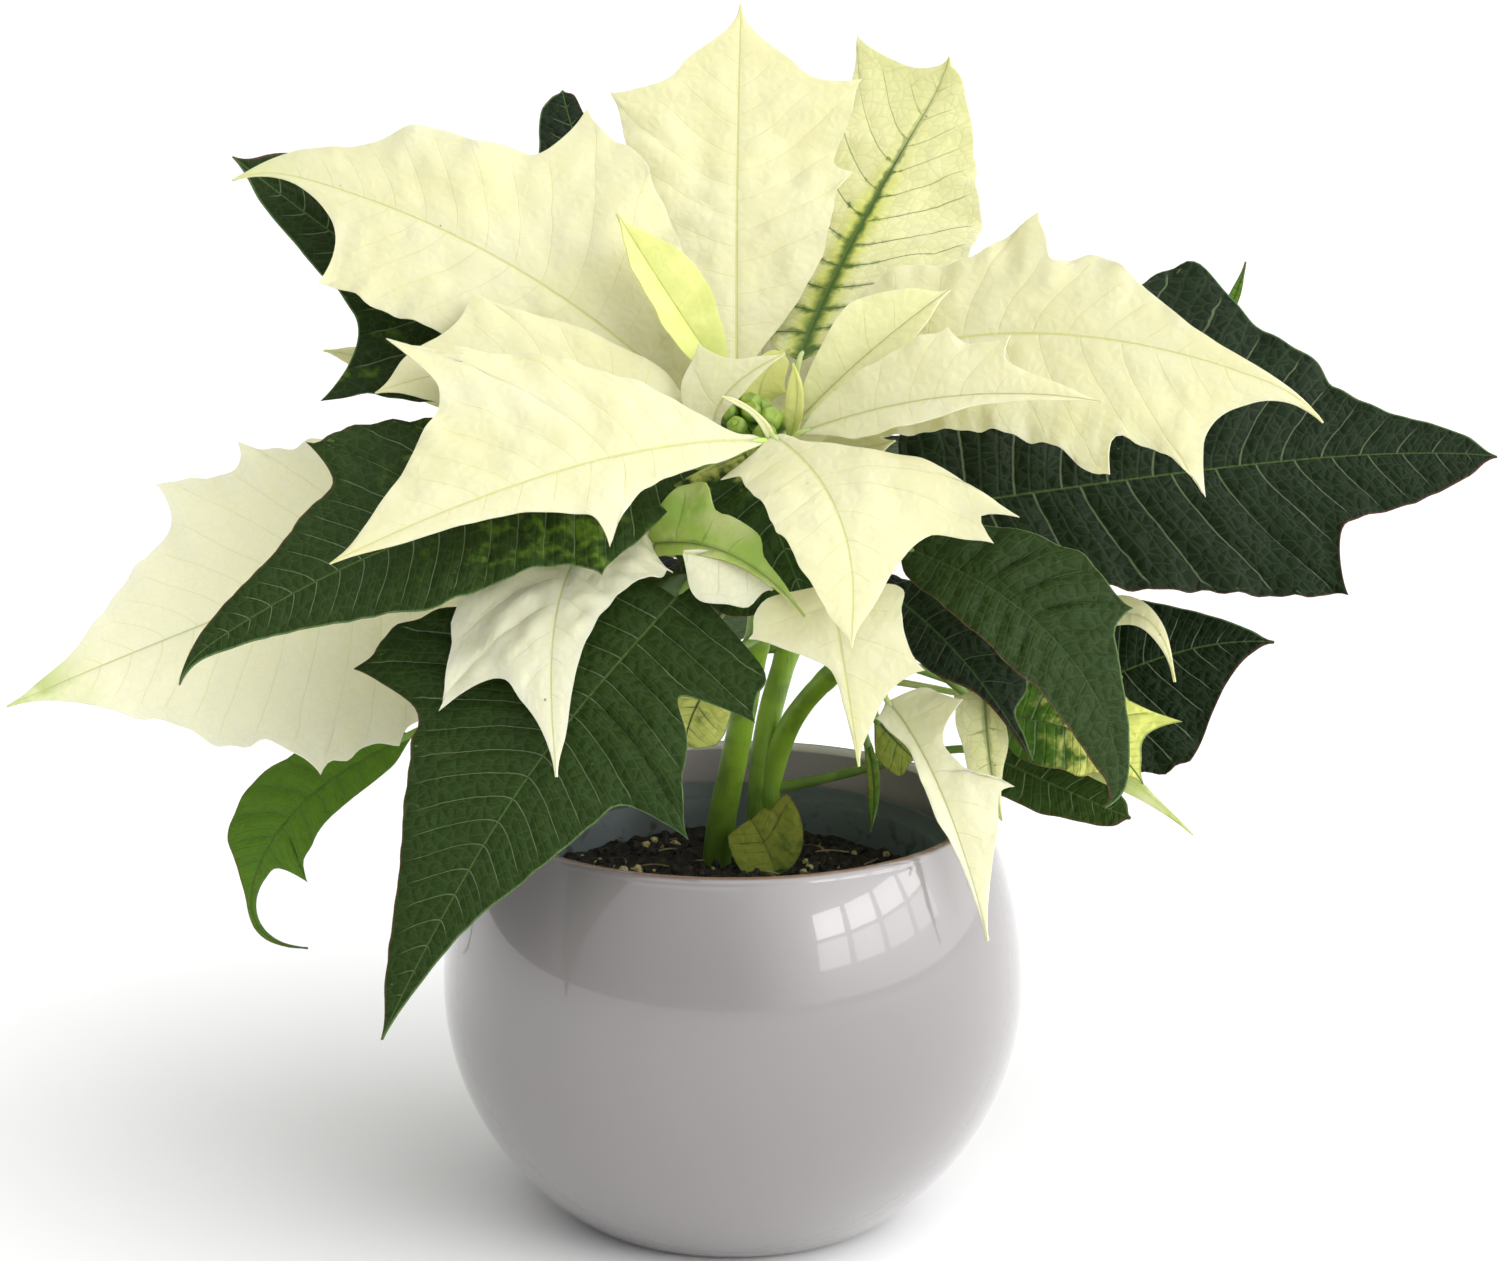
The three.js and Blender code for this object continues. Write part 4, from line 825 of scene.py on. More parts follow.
LEAVES = (
    Leaf("bract_upper_left", "front", 191.5, (0.05, -0.8, 0.6),
         ((-11, 4, 213), (-64, 16, 250), (-127, 30, 270)),
         ((0.05, 6, 14), (0.15, 14, 31), (0.23, 20, 47), (0.3, 25, 54), (0.36, 29, 38), (0.46, 33, 33),
          (0.57, 37, 31), (0.66, 19, 22), (0.82, 5, 12)),
         "cream", green=(0, 0.3, 0), hooks=((0.86, 0, 38),)),
    Leaf("bract_top", "front", 195.5, (0, -0.67, 0.74),
         ((1, 12, 218), (1, 44, 261), (2, 76, 306)),
         ((0.07, 4, 7), (0.22, 12, 22), (0.39, 30, 35), (0.43, 35, 30), (0.51, 43, 38), (0.55, 36, 43),
          (0.62, 27, 29), (0.73, 19, 19), (0.9, 5, 5)),
         "cream", out=(-0.2, 1, 0.3)),
    Leaf("bract_variegated", "front", 189, (-0.3, -0.75, 0.6),
         ((17, 14, 222), (33, 52, 250), (59, 86, 289)),
         ((0.06, 9.5, 15), (0.18, 14, 26), (0.33, 17, 37), (0.57, 27, 29), (0.71, 42, 22), (0.82, 20, 14),
          (0.91, 8, 8)),
         "veined", feather=(0.02, 0.6, 1.35), green=(0.3, 0.15, 0), tone=0.35, hooks=((0.86, 35, 0),)),
    Leaf("bract_right", "front", 184.5, (0.1, -0.8, 0.6),
         ((21, 4, 219), (81, -8, 232), (147, -24, 216)),
         ((0.07, 14, 20), (0.16, 23, 25), (0.25, 24, 28), (0.31, 39, 31), (0.345, 31, 34), (0.38, 24, 36),
          (0.42, 28, 43), (0.46, 27, 47), (0.5, 24, 34), (0.62, 15, 48), (0.67, 12, 29), (0.8, 6, 12)),
         "cream", ripple=1.3, hooks=((0.87, 0, -30),)),
    Leaf("bract_front_left", "front", 189.1, (-0.1, -0.75, 0.66),
         ((8, -17, 207), (-38, -41, 205.3), (-95, -66, 187)),
         ((0.03, 1.9, 1.7), (0.08, 4, 2.4), (0.14, 6.5, 8), (0.19, 7.5, 17), (0.3, 11, 36), (0.36, 17, 46),
          (0.39, 29, 52), (0.42, 20, 62), (0.46, 16, 42), (0.61, 10, 27), (0.85, 5, 9)),
         "cream", out=(-0.7, -1, 0.1), quilt=1.5),
    Leaf("bract_mid_left", "front", 188.7, (-0.05, -0.8, 0.6),
         ((-11, -4, 212), (-48, -9, 224), (-88, -17, 219)),
         ((0.1, 8, 7), (0.28, 16, 12), (0.48, 19, 27), (0.62, 15, 16), (0.78, 9, 11)),
         "cream"),
    Leaf("bract_mid_right", "front", 191, (0.1, -0.75, 0.66),
         ((17, -12, 208), (53, -28, 220), (89, -40, 221)),
         ((0.08, 6, 4), (0.18, 10.5, 9), (0.3, 17.5, 9), (0.365, 20.5, 9), (0.42, 17, 8), (0.48, 16.5, 7),
          (0.535, 19, 5.5), (0.57, 12.5, 5), (0.65, 9, 4), (0.84, 4, 2)),
         "cream", fold=15, green=(0.15, 0, 0), tone=0.3, ripple=1.6),
    Leaf("bract_front", "front", 195.7, (0.1, -0.85, 0.5),
         ((10, -16, 208), (21, -34, 201), (28, -50, 187), (28, -60, 165)),
         ((0.03, 2, 18), (0.08, 3, 15), (0.12, 4, 15.5), (0.22, 14, 16.5), (0.28, 32, 17), (0.33, 47.5, 18),
          (0.355, 38, 18), (0.39, 41.5, 18.5), (0.415, 34, 18), (0.45, 25, 17.5), (0.58, 16, 16),
          (0.8, 7, 9)),
         "cream", out=(1, -1, 0), tone=0.1, hooks=((0.9, 0, 12),)),
    Leaf("bract_front_strip", "front", 199, (0.1, -0.85, 0.5),
         ((10, -16, 206.5), (5.6, -17, 213.7), (-2.5, -17.5, 218.2)),
         ((0.1, 1.2, 1.2), (0.5, 1, 1), (0.85, 1.1, 1)),
         "cream", stalk=0.7, small=True, green=(0.3, 0, 0)),
    Leaf("bract_inner_left", "front", 194.2, (0.5, -0.75, 0.4),
         ((-2, 3, 219), (-16, 3, 240), (-29, 8, 260)),
         ((0.15, 8, 7), (0.4, 10, 12), (0.58, 9, 10), (0.74, 6, 6)),
         "young", fold=20, green=(0.2, 0, 0.25), ripple=2.2, wave=1.4),
    Leaf("bract_inner_right", "front", 193, (-0.3, -0.8, 0.5),
         ((17, -4, 210), (34, -6, 227), (54, -6, 243)),
         ((0.15, 6.5, 6), (0.3, 11.5, 10), (0.42, 15, 11), (0.7, 9.5, 7)),
         "young", fold=20, green=(0.2, 0, 0), tone=0.5),
    Leaf("bract_inner_front", "front", 197.5, (0, -0.85, 0.5),
         ((-5, -8, 206), (-1, -10, 218), (13, -13, 228)),
         ((0.08, 4, 2), (0.2, 11, 2), (0.33, 16, 3), (0.5, 8, 4), (0.8, 3, 2)),
         "cream", stalk=0.7, small=True, green=(0, 0, 0.08), tone=0.3),
    Leaf("bract_inner_back", "front", 199.5, (0, -0.85, 0.5),
         ((8, 8, 207), (7, 8, 216), (13, 10, 225)),
         ((0.35, 6, 8), (0.75, 4, 5)),
         "young", stalk=0.7, small=True, green=(0.8, 0, 0)),
    Leaf("bract_sliver", "front", 197.8, (-0.3, -0.85, 0.3),
         ((14, -7, 205), (16, -9, 216), (15, -9, 225)),
         ((0.2, 3, 2), (0.6, 3, 2)),
         "young", stalk=0.7, small=True, green=(0.8, 0, 0)),
    Leaf("bract_inner_low", "front", 181.5, (0, -0.8, 0.6),
         ((17, -8, 201), (29, -16, 204), (40, -22, 208)),
         ((0.22, 5, 8), (0.6, 5, 6)),
         "cream", small=True, green=(0.5, 0, 0)),
    Leaf("bract_low_front", "front", 177, (0.1, -0.9, 0.4),
         ((24, -36, 175), (27, -44, 158), (31, -48, 132)),
         ((0.04, 16, 16), (0.17, 17, 23), (0.27, 18, 15), (0.37, 23, 9), (0.5, 14, 4), (0.72, 7, 2)),
         "cream", out=(1, -1, -0.2), green=(0.1, 0.2, 0)),
    Leaf("bract_low_left", "front", 177.5, (-0.2, -0.75, 0.62),
         ((-14, -10, 193), (-36, -22, 182.5), (-43.5, -44, 164), (-42, -66, 134.5)),
         ((0.05, 2.5, 2.5), (0.1, 5, 4), (0.14, 13, 7), (0.19, 25, 12), (0.25, 23.5, 18), (0.34, 20, 26),
          (0.42, 17, 31), (0.5, 15, 34), (0.57, 12.5, 37), (0.62, 11, 20), (0.74, 8, 11), (0.87, 5, 4)),
         "cream", quilt=3.2, wave=1.4, tone=0.7),
    Leaf("bract_twisted", "front", 171, (0.1, -0.9, 0.4),
         ((-20.5, -20.5, 181.5), (-8, -30, 183.5), (5, -39, 180), (17.7, -47, 169.5)),
         ((0.01, 2.5, 4), (0.06, 7.5, 4), (0.13, 13.5, 4), (0.17, 15.2, 4), (0.22, 15.8, 4), (0.3, 10, 4),
          (0.36, 10, 3.5), (0.43, 10.3, 3), (0.52, 9, 2.5), (0.62, 5, 2), (0.8, 2.5, 1.5)),
         "green", green=(0, 0, 0.95), ripple=1.5, quilt=2, fold=20,
         feather=(0.2, 0.6, 0.22), soft=(1, 1)),
    Leaf("bract_far_left", "back", 172, (-0.15, -0.7, 0.7),
         ((-54, 44, 178), (-122, 27, 156), (-186, 2, 134)),
         ((0.06, 24, 18), (0.14, 44, 32), (0.2, 52, 44), (0.24, 60.5, 46), (0.275, 58.5, 55), (0.3, 61, 48),
          (0.34, 64, 50), (0.385, 54, 56.5), (0.42, 49, 44), (0.46, 48.5, 38), (0.51, 45.5, 34),
          (0.58, 35, 29), (0.69, 25, 20), (0.8, 14, 11), (0.9, 5.5, 5)),
         "cream", green=(0, 1, 0), tone=1),
    Leaf("bract_hanging", "right", 153, (0.1, -0.9, 0.4),
         ((39, -16, 140), (48, -30, 129), (56, -44, 112), (63, -50, 88)),
         ((0.06, 10, 6), (0.15, 16, 5), (0.25, 7, 3), (0.35, 8, 4), (0.385, 12, 4.5), (0.4, 20.5, 4.5),
          (0.43, 16, 4.5), (0.54, 13.5, 5), (0.62, 10.5, 3.5),
          (0.8, 5, 1.5)),
         "cream", ripple=3, wave=1.6, quilt=2, fold=14, green=(0.15, 0.1, 0), tone=0.6),
    Leaf("bract_striped", "right", 155, (0.1, -0.9, 0.4),
         ((64, -6, 141), (65, -14, 124), (68, -20, 110)),
         ((0.04, 4, 8), (0.17, 5, 8), (0.3, 6, 7), (0.5, 4, 7), (0.75, 2, 5)),
         "veined", green=(0.1, 0.9, 0), tone=0.4, feather=(0.35, 0.8, 0.25)),
    Leaf("bract_curled", "right", 147.5, (0.1, -0.9, 0.4),
         ((88, 8, 152), (104, 0, 158), (112, -8, 143)),
         ((0.2, 5, 3), (0.6, 3, 3)),
         "cream", small=True),
    Leaf("bract_strip", "right", 138, (0.2, -0.9, 0.4),
         ((69, 10, 132), (96, 4, 118), (118, -6, 102)),
         ((0.15, 4, 4), (0.4, 5, 6), (0.7, 2, 3)),
         "cream", small=True, green=(0, 0, 0.75)),
    Leaf("leaf_yellow_right", "right", 151, (0.1, -0.9, 0.4),
         ((67, 8, 131), (84, 4, 128), (96, 0, 124), (105, -4, 115)),
         ((0.1, 10, 10), (0.24, 15, 12), (0.34, 20, 12), (0.43, 16, 13), (0.54, 23, 11), (0.62, 12, 9),
          (0.8, 5, 5)),
         "mottled", marble=(0.85, 0.55, 1), ripple=1.5),
    Leaf("leaf_left", "front", 184.8, (-0.1, -0.75, 0.66),
         ((-3, -9, 199), (-77, -38, 187), (-136, -52, 156)),
         ((0.02, 4, 3.5), (0.06, 7, 5), (0.09, 11, 8), (0.12, 16.5, 12), (0.19, 26.5, 21), (0.24, 21, 27),
          (0.28, 20.5, 33), (0.36, 23, 41), (0.42, 24.5, 46.5), (0.455, 24, 32), (0.5, 22, 27),
          (0.64, 16, 18), (0.83, 7, 9)),
         "dark", marble=(0.3, 0.22, 0.36), tone=0.12, hooks=((0.9, 0, 40),)),
    Leaf("leaf_mottled", "front", 172.6, (0.1, -0.9, 0.4),
         ((2.5, -12, 204), (10, -16.5, 187), (19, -23, 165)),
         ((0.03, 8, 22), (0.12, 9, 25), (0.3, 10, 29), (0.5, 10, 26), (0.75, 8, 12)),
         "mottled", marble=(0, 0.26, 0.62), tone=-0.6, soft=(1, 1)),
    Leaf("leaf_upper_left", "front", 171, (-0.05, -0.75, 0.66),
         ((-21, 14, 210), (-73, 30, 232), (-129, 42, 270)),
         ((0.09, 17, 12), (0.2, 22, 23), (0.32, 27, 28), (0.4, 47, 31), (0.48, 27, 35), (0.58, 18, 38),
          (0.7, 14, 28), (0.86, 8, 14)),
         "dark", tone=0.08, marble=(0.62, 0.12, 0.3)),
    Leaf("leaf_dark_tip", "front", 193, (0.1, -0.8, 0.6),
         ((-10, 26, 214), (-33, 62, 250), (-46, 88, 282)),
         ((0.12, 12, 12), (0.3, 22, 18), (0.5, 18, 15), (0.68, 15, 12), (0.84, 11, 6.5), (0.94, 5, 4.5)),
         "dark", soft=(1, 1)),
    Leaf("leaf_right", "front", 170, (0.1, -0.75, 0.66),
         ((44, 8, 184), (102, 18, 190), (154, 22, 195), (196, 18, 196)),
         ((0.012, 21, 8), (0.05, 24, 14), (0.17, 43, 28), (0.26, 62, 36), (0.3, 69, 38), (0.36, 58, 43),
          (0.41, 48, 46), (0.47, 41, 50), (0.52, 36.5, 34), (0.57, 28, 26), (0.7, 18, 22), (0.88, 9, 11)),
         "dark", soft=(1, 0), green=(0, 0, 0.35), veins=1.55),
    Leaf("leaf_front_right", "front", 166, (0.25, -0.85, 0.45),
         ((42, -16, 180), (68, -32, 170), (88, -42, 150), (95, -48, 120)),
         ((0.05, 8, 7), (0.17, 17, 11), (0.29, 24, 14), (0.41, 26, 16), (0.46, 18, 15), (0.55, 13, 15),
          (0.75, 7, 11), (0.91, 3, 4)),
         "dark", tone=0.1, green=(0, 0, 0.9), quilt=1.5, hooks=((0.88, 40, -60),)),
    Leaf("leaf_dark_right", "front", 162, (0.2, -0.85, 0.4),
         ((38, -2, 166), (58, -8, 149), (76, -14, 124)),
         ((0.12, 9, 7), (0.35, 17, 10), (0.6, 13, 4), (0.76, 4, 2), (0.88, 2.2, 1.6)),
         "dark", green=(0, 0, 0.7)),
    Leaf("leaf_far_right", "right", 144.5, (0.1, -0.8, 0.6),
         ((80, 26, 129), (101, 28, 136), (120, 30, 142), (142, 30, 144)),
         ((0.04, 9, 17), (0.16, 18, 29), (0.28, 22, 32), (0.46, 17, 24), (0.7, 10, 12), (0.86, 5, 5)),
         "dark"),
    Leaf("leaf_low_right", "right", 104, (0.05, -0.8, 0.6),
         ((66, 26, 115), (87, 22, 106), (104, 16, 100)),
         ((0.1, 9, 10), (0.3, 11, 10), (0.5, 10, 9), (0.8, 6, 6)),
         "dark", out=(1, 0, 0.1), tone=0.2),
    Leaf("leaf_low_front", "front", 160, (-0.3, -0.85, 0.4),
         ((-9, -26, 175), (-32, -44, 152), (-51, -60, 130), (-69, -72, 102), (-84, -80, 73)),
         ((0.02, 6, 9), (0.045, 30, 13), (0.08, 33, 20), (0.105, 37, 27), (0.155, 19, 38), (0.19, 27, 46),
          (0.222, 33, 55), (0.25, 38, 57.5), (0.285, 47, 60), (0.3, 39, 52), (0.335, 28, 40),
          (0.394, 25, 36), (0.527, 19.5, 27.5), (0.678, 11, 18), (0.83, 5, 10)),
         "dark", tone=0.12, green=(0, 0, 0.2)),
    Leaf("leaf_low_left", "back", 140, (-0.2, -0.8, 0.55),
         ((-86, 36, 117), (-105, 30, 107.5), (-120, 24, 94), (-127, 18, 76), (-112, 14, 65)),
         ((0.08, 6, 9), (0.25, 9, 14), (0.38, 11, 17), (0.48, 18, 15), (0.55, 7, 10), (0.62, 4, 6),
          (0.72, 2, 2.2), (0.86, 1.3, 1.6)),
         "fresh", green=(0, 0, 0.5), tone=0.7, quilt=1.4),
    Leaf("leaf_patch", "front", 150, (0, -0.9, 0.4),
         ((-1, -14, 150.5), (-9, -18, 139.5), (-12, -20, 129)),
         ((0.25, 9, 6), (0.6, 11, 6), (0.85, 5, 4)),
         "mottled", small=True, marble=(0.5, 0.8, 0.9), soft=(1, 1)),
    Leaf("leaf_spike", "back", 184, (0.1, -0.9, 0.4),
         ((56, 60, 188), (112, 70, 203), (136, 66, 239)),
         ((0.12, 8, 16), (0.35, 10, 26), (0.6, 9, 16), (0.78, 3.5, 4), (0.9, 2, 2)),
         "dark", tone=1),
    Leaf("leaf_pale_tip", "back", 181, (0, -0.8, 0.6),
         ((-48, 56, 198), (-84, 60, 210), (-109, 62, 216)),
         ((0.15, 7, 7), (0.45, 8, 8), (0.78, 4, 4)),
         "cream", small=True),
    Leaf("leaf_thin", "right", 141, (-0.2, -0.95, 0.2),
         ((34, -6, 127), (36, -8, 115), (35, -10, 104)),
         ((0.25, 1.8, 1.6), (0.62, 1.5, 2)),
         "fresh", small=True, tone=1, marble=(0.2, 0.5, 0.6)),
    Leaf("leaf_pale_low", "right", 149, (0, -0.9, 0.4),
         ((37, 3, 130), (42, 4, 124), (47, 5, 119)),
         ((0.25, 4, 7), (0.6, 5, 8)),
         "fresh", small=True, tone=1, marble=(0.5, 2, 0.7)),
    Leaf("leaf_on_soil", None, None, (0, -0.95, 0.25),
         ((11.5, 8, 86.5), (8, 11.5, 94.5), (4.5, 14.5, 100)),
         ((0.04, 5, 5), (0.12, 8.2, 9), (0.24, 9.6, 12), (0.36, 10, 13.5), (0.48, 10, 14.5),
          (0.54, 9.8, 12), (0.62, 9.6, 7.5), (0.76, 9, 8), (0.9, 6.5, 6.5)),
         "fresh", marble=(0.7, 0.9, 0.9), soft=(1, 1), green=(0, 0, 0.7)),
    Leaf("bract_back_left", "front", 183, (-0.1, 0.3, 0.95),
         ((-3, 17, 197), (-34, 62, 206), (-68, 110, 184)),
         ((0.06, 8, 8), (0.2, 22, 20), (0.38, 28, 34), (0.46, 24, 22), (0.6, 20, 18), (0.82, 7, 7)),
         "cream"),
    Leaf("bract_back_mid", "front", 182, (0, 0.4, 0.9),
         ((8, 18, 203), (8, 75, 217), (12, 128, 194)),
         ((0.06, 8, 8), (0.2, 20, 22), (0.34, 30, 26), (0.42, 22, 32), (0.55, 19, 20), (0.8, 8, 8)),
         "cream"),
    Leaf("bract_back_right", "front", 178, (0.2, 0.3, 0.9),
         ((18, 15, 195), (46, 60, 205), (76, 108, 190)),
         ((0.06, 7, 8), (0.2, 20, 20), (0.36, 30, 28), (0.48, 20, 20), (0.62, 18, 14), (0.82, 6, 6)),
         "cream"),
    Leaf("leaf_back_left", "back", 168, (-0.3, 0.2, 0.9),
         ((-10, 62, 178), (-60, 108, 182), (-110, 148, 150)),
         ((0.05, 14, 12), (0.2, 30, 32), (0.36, 42, 34), (0.44, 28, 40), (0.6, 20, 20), (0.82, 8, 8)),
         "dark"),
    Leaf("leaf_back_mid", "back", 177, (0, 0.5, 0.85),
         ((21, 80, 182), (25, 130, 174), (28, 182, 128)),
         ((0.05, 12, 12), (0.2, 32, 30), (0.36, 38, 42), (0.46, 28, 26), (0.62, 18, 18), (0.84, 7, 7)),
         "dark"),
    Leaf("leaf_back_right", "back", 172, (0.4, 0.2, 0.9),
         ((50, 70, 180), (90, 104, 176), (125, 135, 140)),
         ((0.06, 10, 12), (0.22, 26, 28), (0.38, 34, 30), (0.46, 22, 24), (0.62, 16, 16), (0.84, 6, 6)),
         "dark"),
    Leaf("leaf_back_low_left", "back", 150, (-0.4, 0.3, 0.8),
         ((-12, 60, 150), (-52, 98, 140), (-86, 128, 98)),
         ((0.06, 10, 12), (0.22, 26, 28), (0.36, 32, 34), (0.46, 22, 22), (0.64, 15, 15), (0.84, 6, 6)),
         "dark"),
    Leaf("leaf_back_low_mid", "back", 143, (0, 0.6, 0.8),
         ((10, 70, 144), (0, 110, 138), (-14, 145, 98)),
         ((0.06, 10, 10), (0.22, 24, 26), (0.38, 34, 30), (0.48, 20, 22), (0.64, 14, 14), (0.84, 6, 6)),
         "dark"),
    Leaf("leaf_back_low_right", "back", 147, (0.4, 0.3, 0.8),
         ((36, 68, 146), (66, 102, 136), (92, 132, 96)),
         ((0.06, 10, 10), (0.22, 26, 24), (0.36, 30, 34), (0.46, 20, 22), (0.64, 14, 14), (0.84, 6, 6)),
         "dark"),
)

FOLDED = {  # the part of a folded blade that shows behind it
    "bract_twisted": Leaf("bract_twisted", None, None, (0.1, -0.9, 0.4),
                          ((-12, -32, 182), (0, -35, 180), (10, -38, 174)),
                          ((0.08, 1, 9), (0.2, 1.5, 12), (0.45, 1.5, 11.5), (0.65, 1.5, 10), (0.82, 1, 4)),
                          "green", tone=0.85, soft=(1, 1), quilt=2),
}

STATIONS = 241  # points of a midrib
HOOK_EASE = 1.4
BLADE_COLUMNS = 18  # from the midrib to the margin
SMALL_COLUMNS = 9
SMALL_STEP = 0.6  # how much finer a small blade's rows are
COLUMN_EASE = 1.3  # columns stand closer near the midrib
MARGIN_WEAR = (0.035, 4.5)  # share of the reach, and size in mm, of the margin's unevenness
CROWN_SHAPE = 0.8
QUILT_LUMP = 4.8  # mm
GROOVE = (0.35, 1.6)  # depth and half width of the groove along the midrib, in mm
WAVE = (1.5, 21)  # height and size of the slow waves, in mm
RIPPLE = (0.75, 0.36)  # height in mm and pace in radians a mm of the margin's ripple
BRACT_STALK = 1.1
LEAF_STALK = 1.5
STALK_TAPER = 0.3
STALK_BOW = 0.35  # how far the stalk keeps its first direction, as a share of the way
STALK_FLARE = (0.35, 3)  # how much wider it is at the stem, and reach of that in mm
STALK_SIDES = 12
STALK_STEP = 1.6  # mm
RIB_END = 0.93  # how far under the blade the stalk runs on
RIB_TIP = 0.12  # its radius there, in mm
FLAT = np.array([1, 1, 0.4])  # a stalk leaves the stem flatter than it ends
TIP_HALF_WIDTH = 0.2


def through(points, t):
    """The polynomial through evenly spread points: the sum of each point times the product, over the
    other points j, of (t n - j) / (i - j)."""
    points = np.array(points, float)
    last = len(points) - 1
    total = 0
    for i, point in enumerate(points):
        weight = np.ones_like(t)
        for j in range(last + 1):
            if j != i:
                weight = weight * (t * last - j) / (i - j)
        total = total + weight[..., None] * point
    return total


def sweep(u):
    """The angle between a side vein and the midrib, wide at the base: 40 + 50 (1 - u)^2 degrees."""
    return np.radians(40 + 50 * (1 - u) ** 2)


class Rib:
    """The midrib as points with a frame at each: along it, up from the upper face, and to its left."""

    def __init__(self, leaf):
        self.t = np.linspace(0, 1, STATIONS)
        centre = through(leaf.rib, self.t)
        steps = np.linalg.norm(np.diff(through(leaf.rib, np.linspace(0, 1, 33)), axis=0), axis=1)
        self.length = steps.sum()
        along = unit(np.gradient(centre, axis=0))
        up = unit(np.array(leaf.faces, float)) + 0 * along
        up = unit(up - along * (up * along).sum(-1, keepdims=True))
        left = np.cross(up, along)
        pace = np.linalg.norm(np.diff(centre, axis=0), axis=1)[:, None]
        for start, curl, swerve in leaf.hooks:
            grown = (np.clip((self.t - start) / (1 - start), 0, 1) ** HOOK_EASE)[:, None]
            lift, turn = np.radians(curl) * grown, np.radians(swerve) * grown
            along, up = along * np.cos(lift) + up * np.sin(lift), up * np.cos(lift) - along * np.sin(lift)
            along, left = (along * np.cos(turn) + left * np.sin(turn),
                           left * np.cos(turn) - along * np.sin(turn))
            middle = (along[1:] + along[:-1]) / 2
            centre = centre[0] + np.vstack([np.zeros(3), np.cumsum(unit(middle) * pace, axis=0)])
        self.centre, self.along, self.up, self.left = centre, along, up, left

    def at(self, field, t):
        """A field's values at shares t of the way along."""
        return np.stack([np.interp(t, self.t, field[:, k]) for k in range(3)], -1)


def margin_knots(leaf, length, side, base):
    """The flat margin points of one side: the vein's root plus its reach along the swept vein."""
    rows = np.array(leaf.margin, float)
    u, reach = rows[:, 0], rows[:, 1 + side]
    x = np.concatenate([[0], length * u + reach * np.cos(sweep(u)), [length]])
    y = np.concatenate([[base], reach * np.sin(sweep(u)), [TIP_HALF_WIDTH]])
    return np.concatenate([[0], u, [1]]), np.stack([x, y], -1)


def margin_slopes(u, knots, lobed):
    """Slopes of the margin's cubics before and after each point. At a lobe's tip both turn towards its
    main vein, which draws the lobe out; elsewhere they are the chord between the neighbours."""
    chord = np.diff(knots, axis=0)
    span = np.diff(u)[:, None]
    rate = np.vstack([chord[:1] / span[:1], (chord[1:] + chord[:-1]) / (span[1:] + span[:-1]),
                      chord[-1:] / span[-1:]])
    arrive, leave = rate[1:] * span, rate[:-1] * span
    size = np.linalg.norm(chord, axis=1, keepdims=True)
    angle = sweep(u)
    vein = np.stack([np.cos(angle), np.sin(angle)], -1)
    pull = lobed[:, None]
    arrive += pull[1:] * (0.45 * chord + 0.75 * vein[1:] * size - arrive)
    leave += pull[:-1] * (0.6 * chord - 0.45 * vein[:-1] * size - leave)
    arrive[-1] = 0.5 * chord[-1] + 0.8 * np.array([1, 0]) * size[-1]
    return leave, arrive


def lobes(knots):
    """How much each margin point is a pointed lobe, 0 to 1: the reach is largest there and the margin
    turns by more than about 50 degrees."""
    chord = np.diff(knots, axis=0)
    turn = np.degrees(np.arctan2(chord[:, 1], chord[:, 0]))
    bend = (turn[:-1] - turn[1:]) % 360
    bend = np.where(bend > 180, 0, bend)
    highest = (knots[1:-1, 1] > knots[:-2, 1]) & (knots[1:-1, 1] >= knots[2:, 1])
    return np.concatenate([[0], ease(bend, 38, 62) * highest, [0]])


def blade_rows(leaf, length, base, step, gap):
    """Where the grid's rows are: u, the margin on each side, and the vein phase on each side. Rows keep
    step or less between them on the midrib and on both margins, and one stands at each margin point."""
    sides = []
    for side in (0, 1):
        u, knots = margin_knots(leaf, length, side, base)
        lobed = lobes(knots) * (1 - leaf.soft[side])
        leave, arrive = margin_slopes(u, knots, lobed)
        sides.append((knots, leave, arrive, lobed))
    shares = [0.0]
    margins = [np.array([[0, base]]), np.array([[0, base]])]
    for i in range(len(u) - 1):
        t = np.linspace(0, 1, 41)[:, None]
        curves = [hermite(k[i], k[i + 1], go[i], come[i], t) for k, go, come, _ in sides]
        paces = [np.linalg.norm(np.diff(curve, axis=0), axis=1) for curve in curves]
        pace = np.maximum(np.maximum(*paces), length * (u[i + 1] - u[i]) / 40)
        count = max(2, math.ceil(pace.sum() / step))
        run = np.append(0, np.cumsum(pace)) / pace.sum()
        fraction = np.interp(np.linspace(0, 1, count + 1)[1:], run, t[:, 0])
        shares.extend(u[i] + (u[i + 1] - u[i]) * fraction)
        for k, (knots, leave, arrive, _) in enumerate(sides):
            curve = hermite(knots[i], knots[i + 1], leave[i], arrive[i], fraction[:, None])
            margins[k] = np.vstack([margins[k], curve])
    phases = [vein_phase(np.array(shares), u, side[3], length, k, gap) for k, side in enumerate(sides)]
    return np.array(shares), margins, phases


def vein_phase(shares, u, lobed, length, side, gap):
    """A number that is whole at each side vein. Lobe tips have a vein, and between them the veins stand
    evenly, about the gap apart."""
    anchors = [0.02 + 0.025 * side, *u[lobed > 0.5], 1.0]
    counts = np.maximum(1, np.round(np.diff(anchors) * length / gap))
    return np.interp(shares, anchors, np.concatenate([[0], np.cumsum(counts)]))


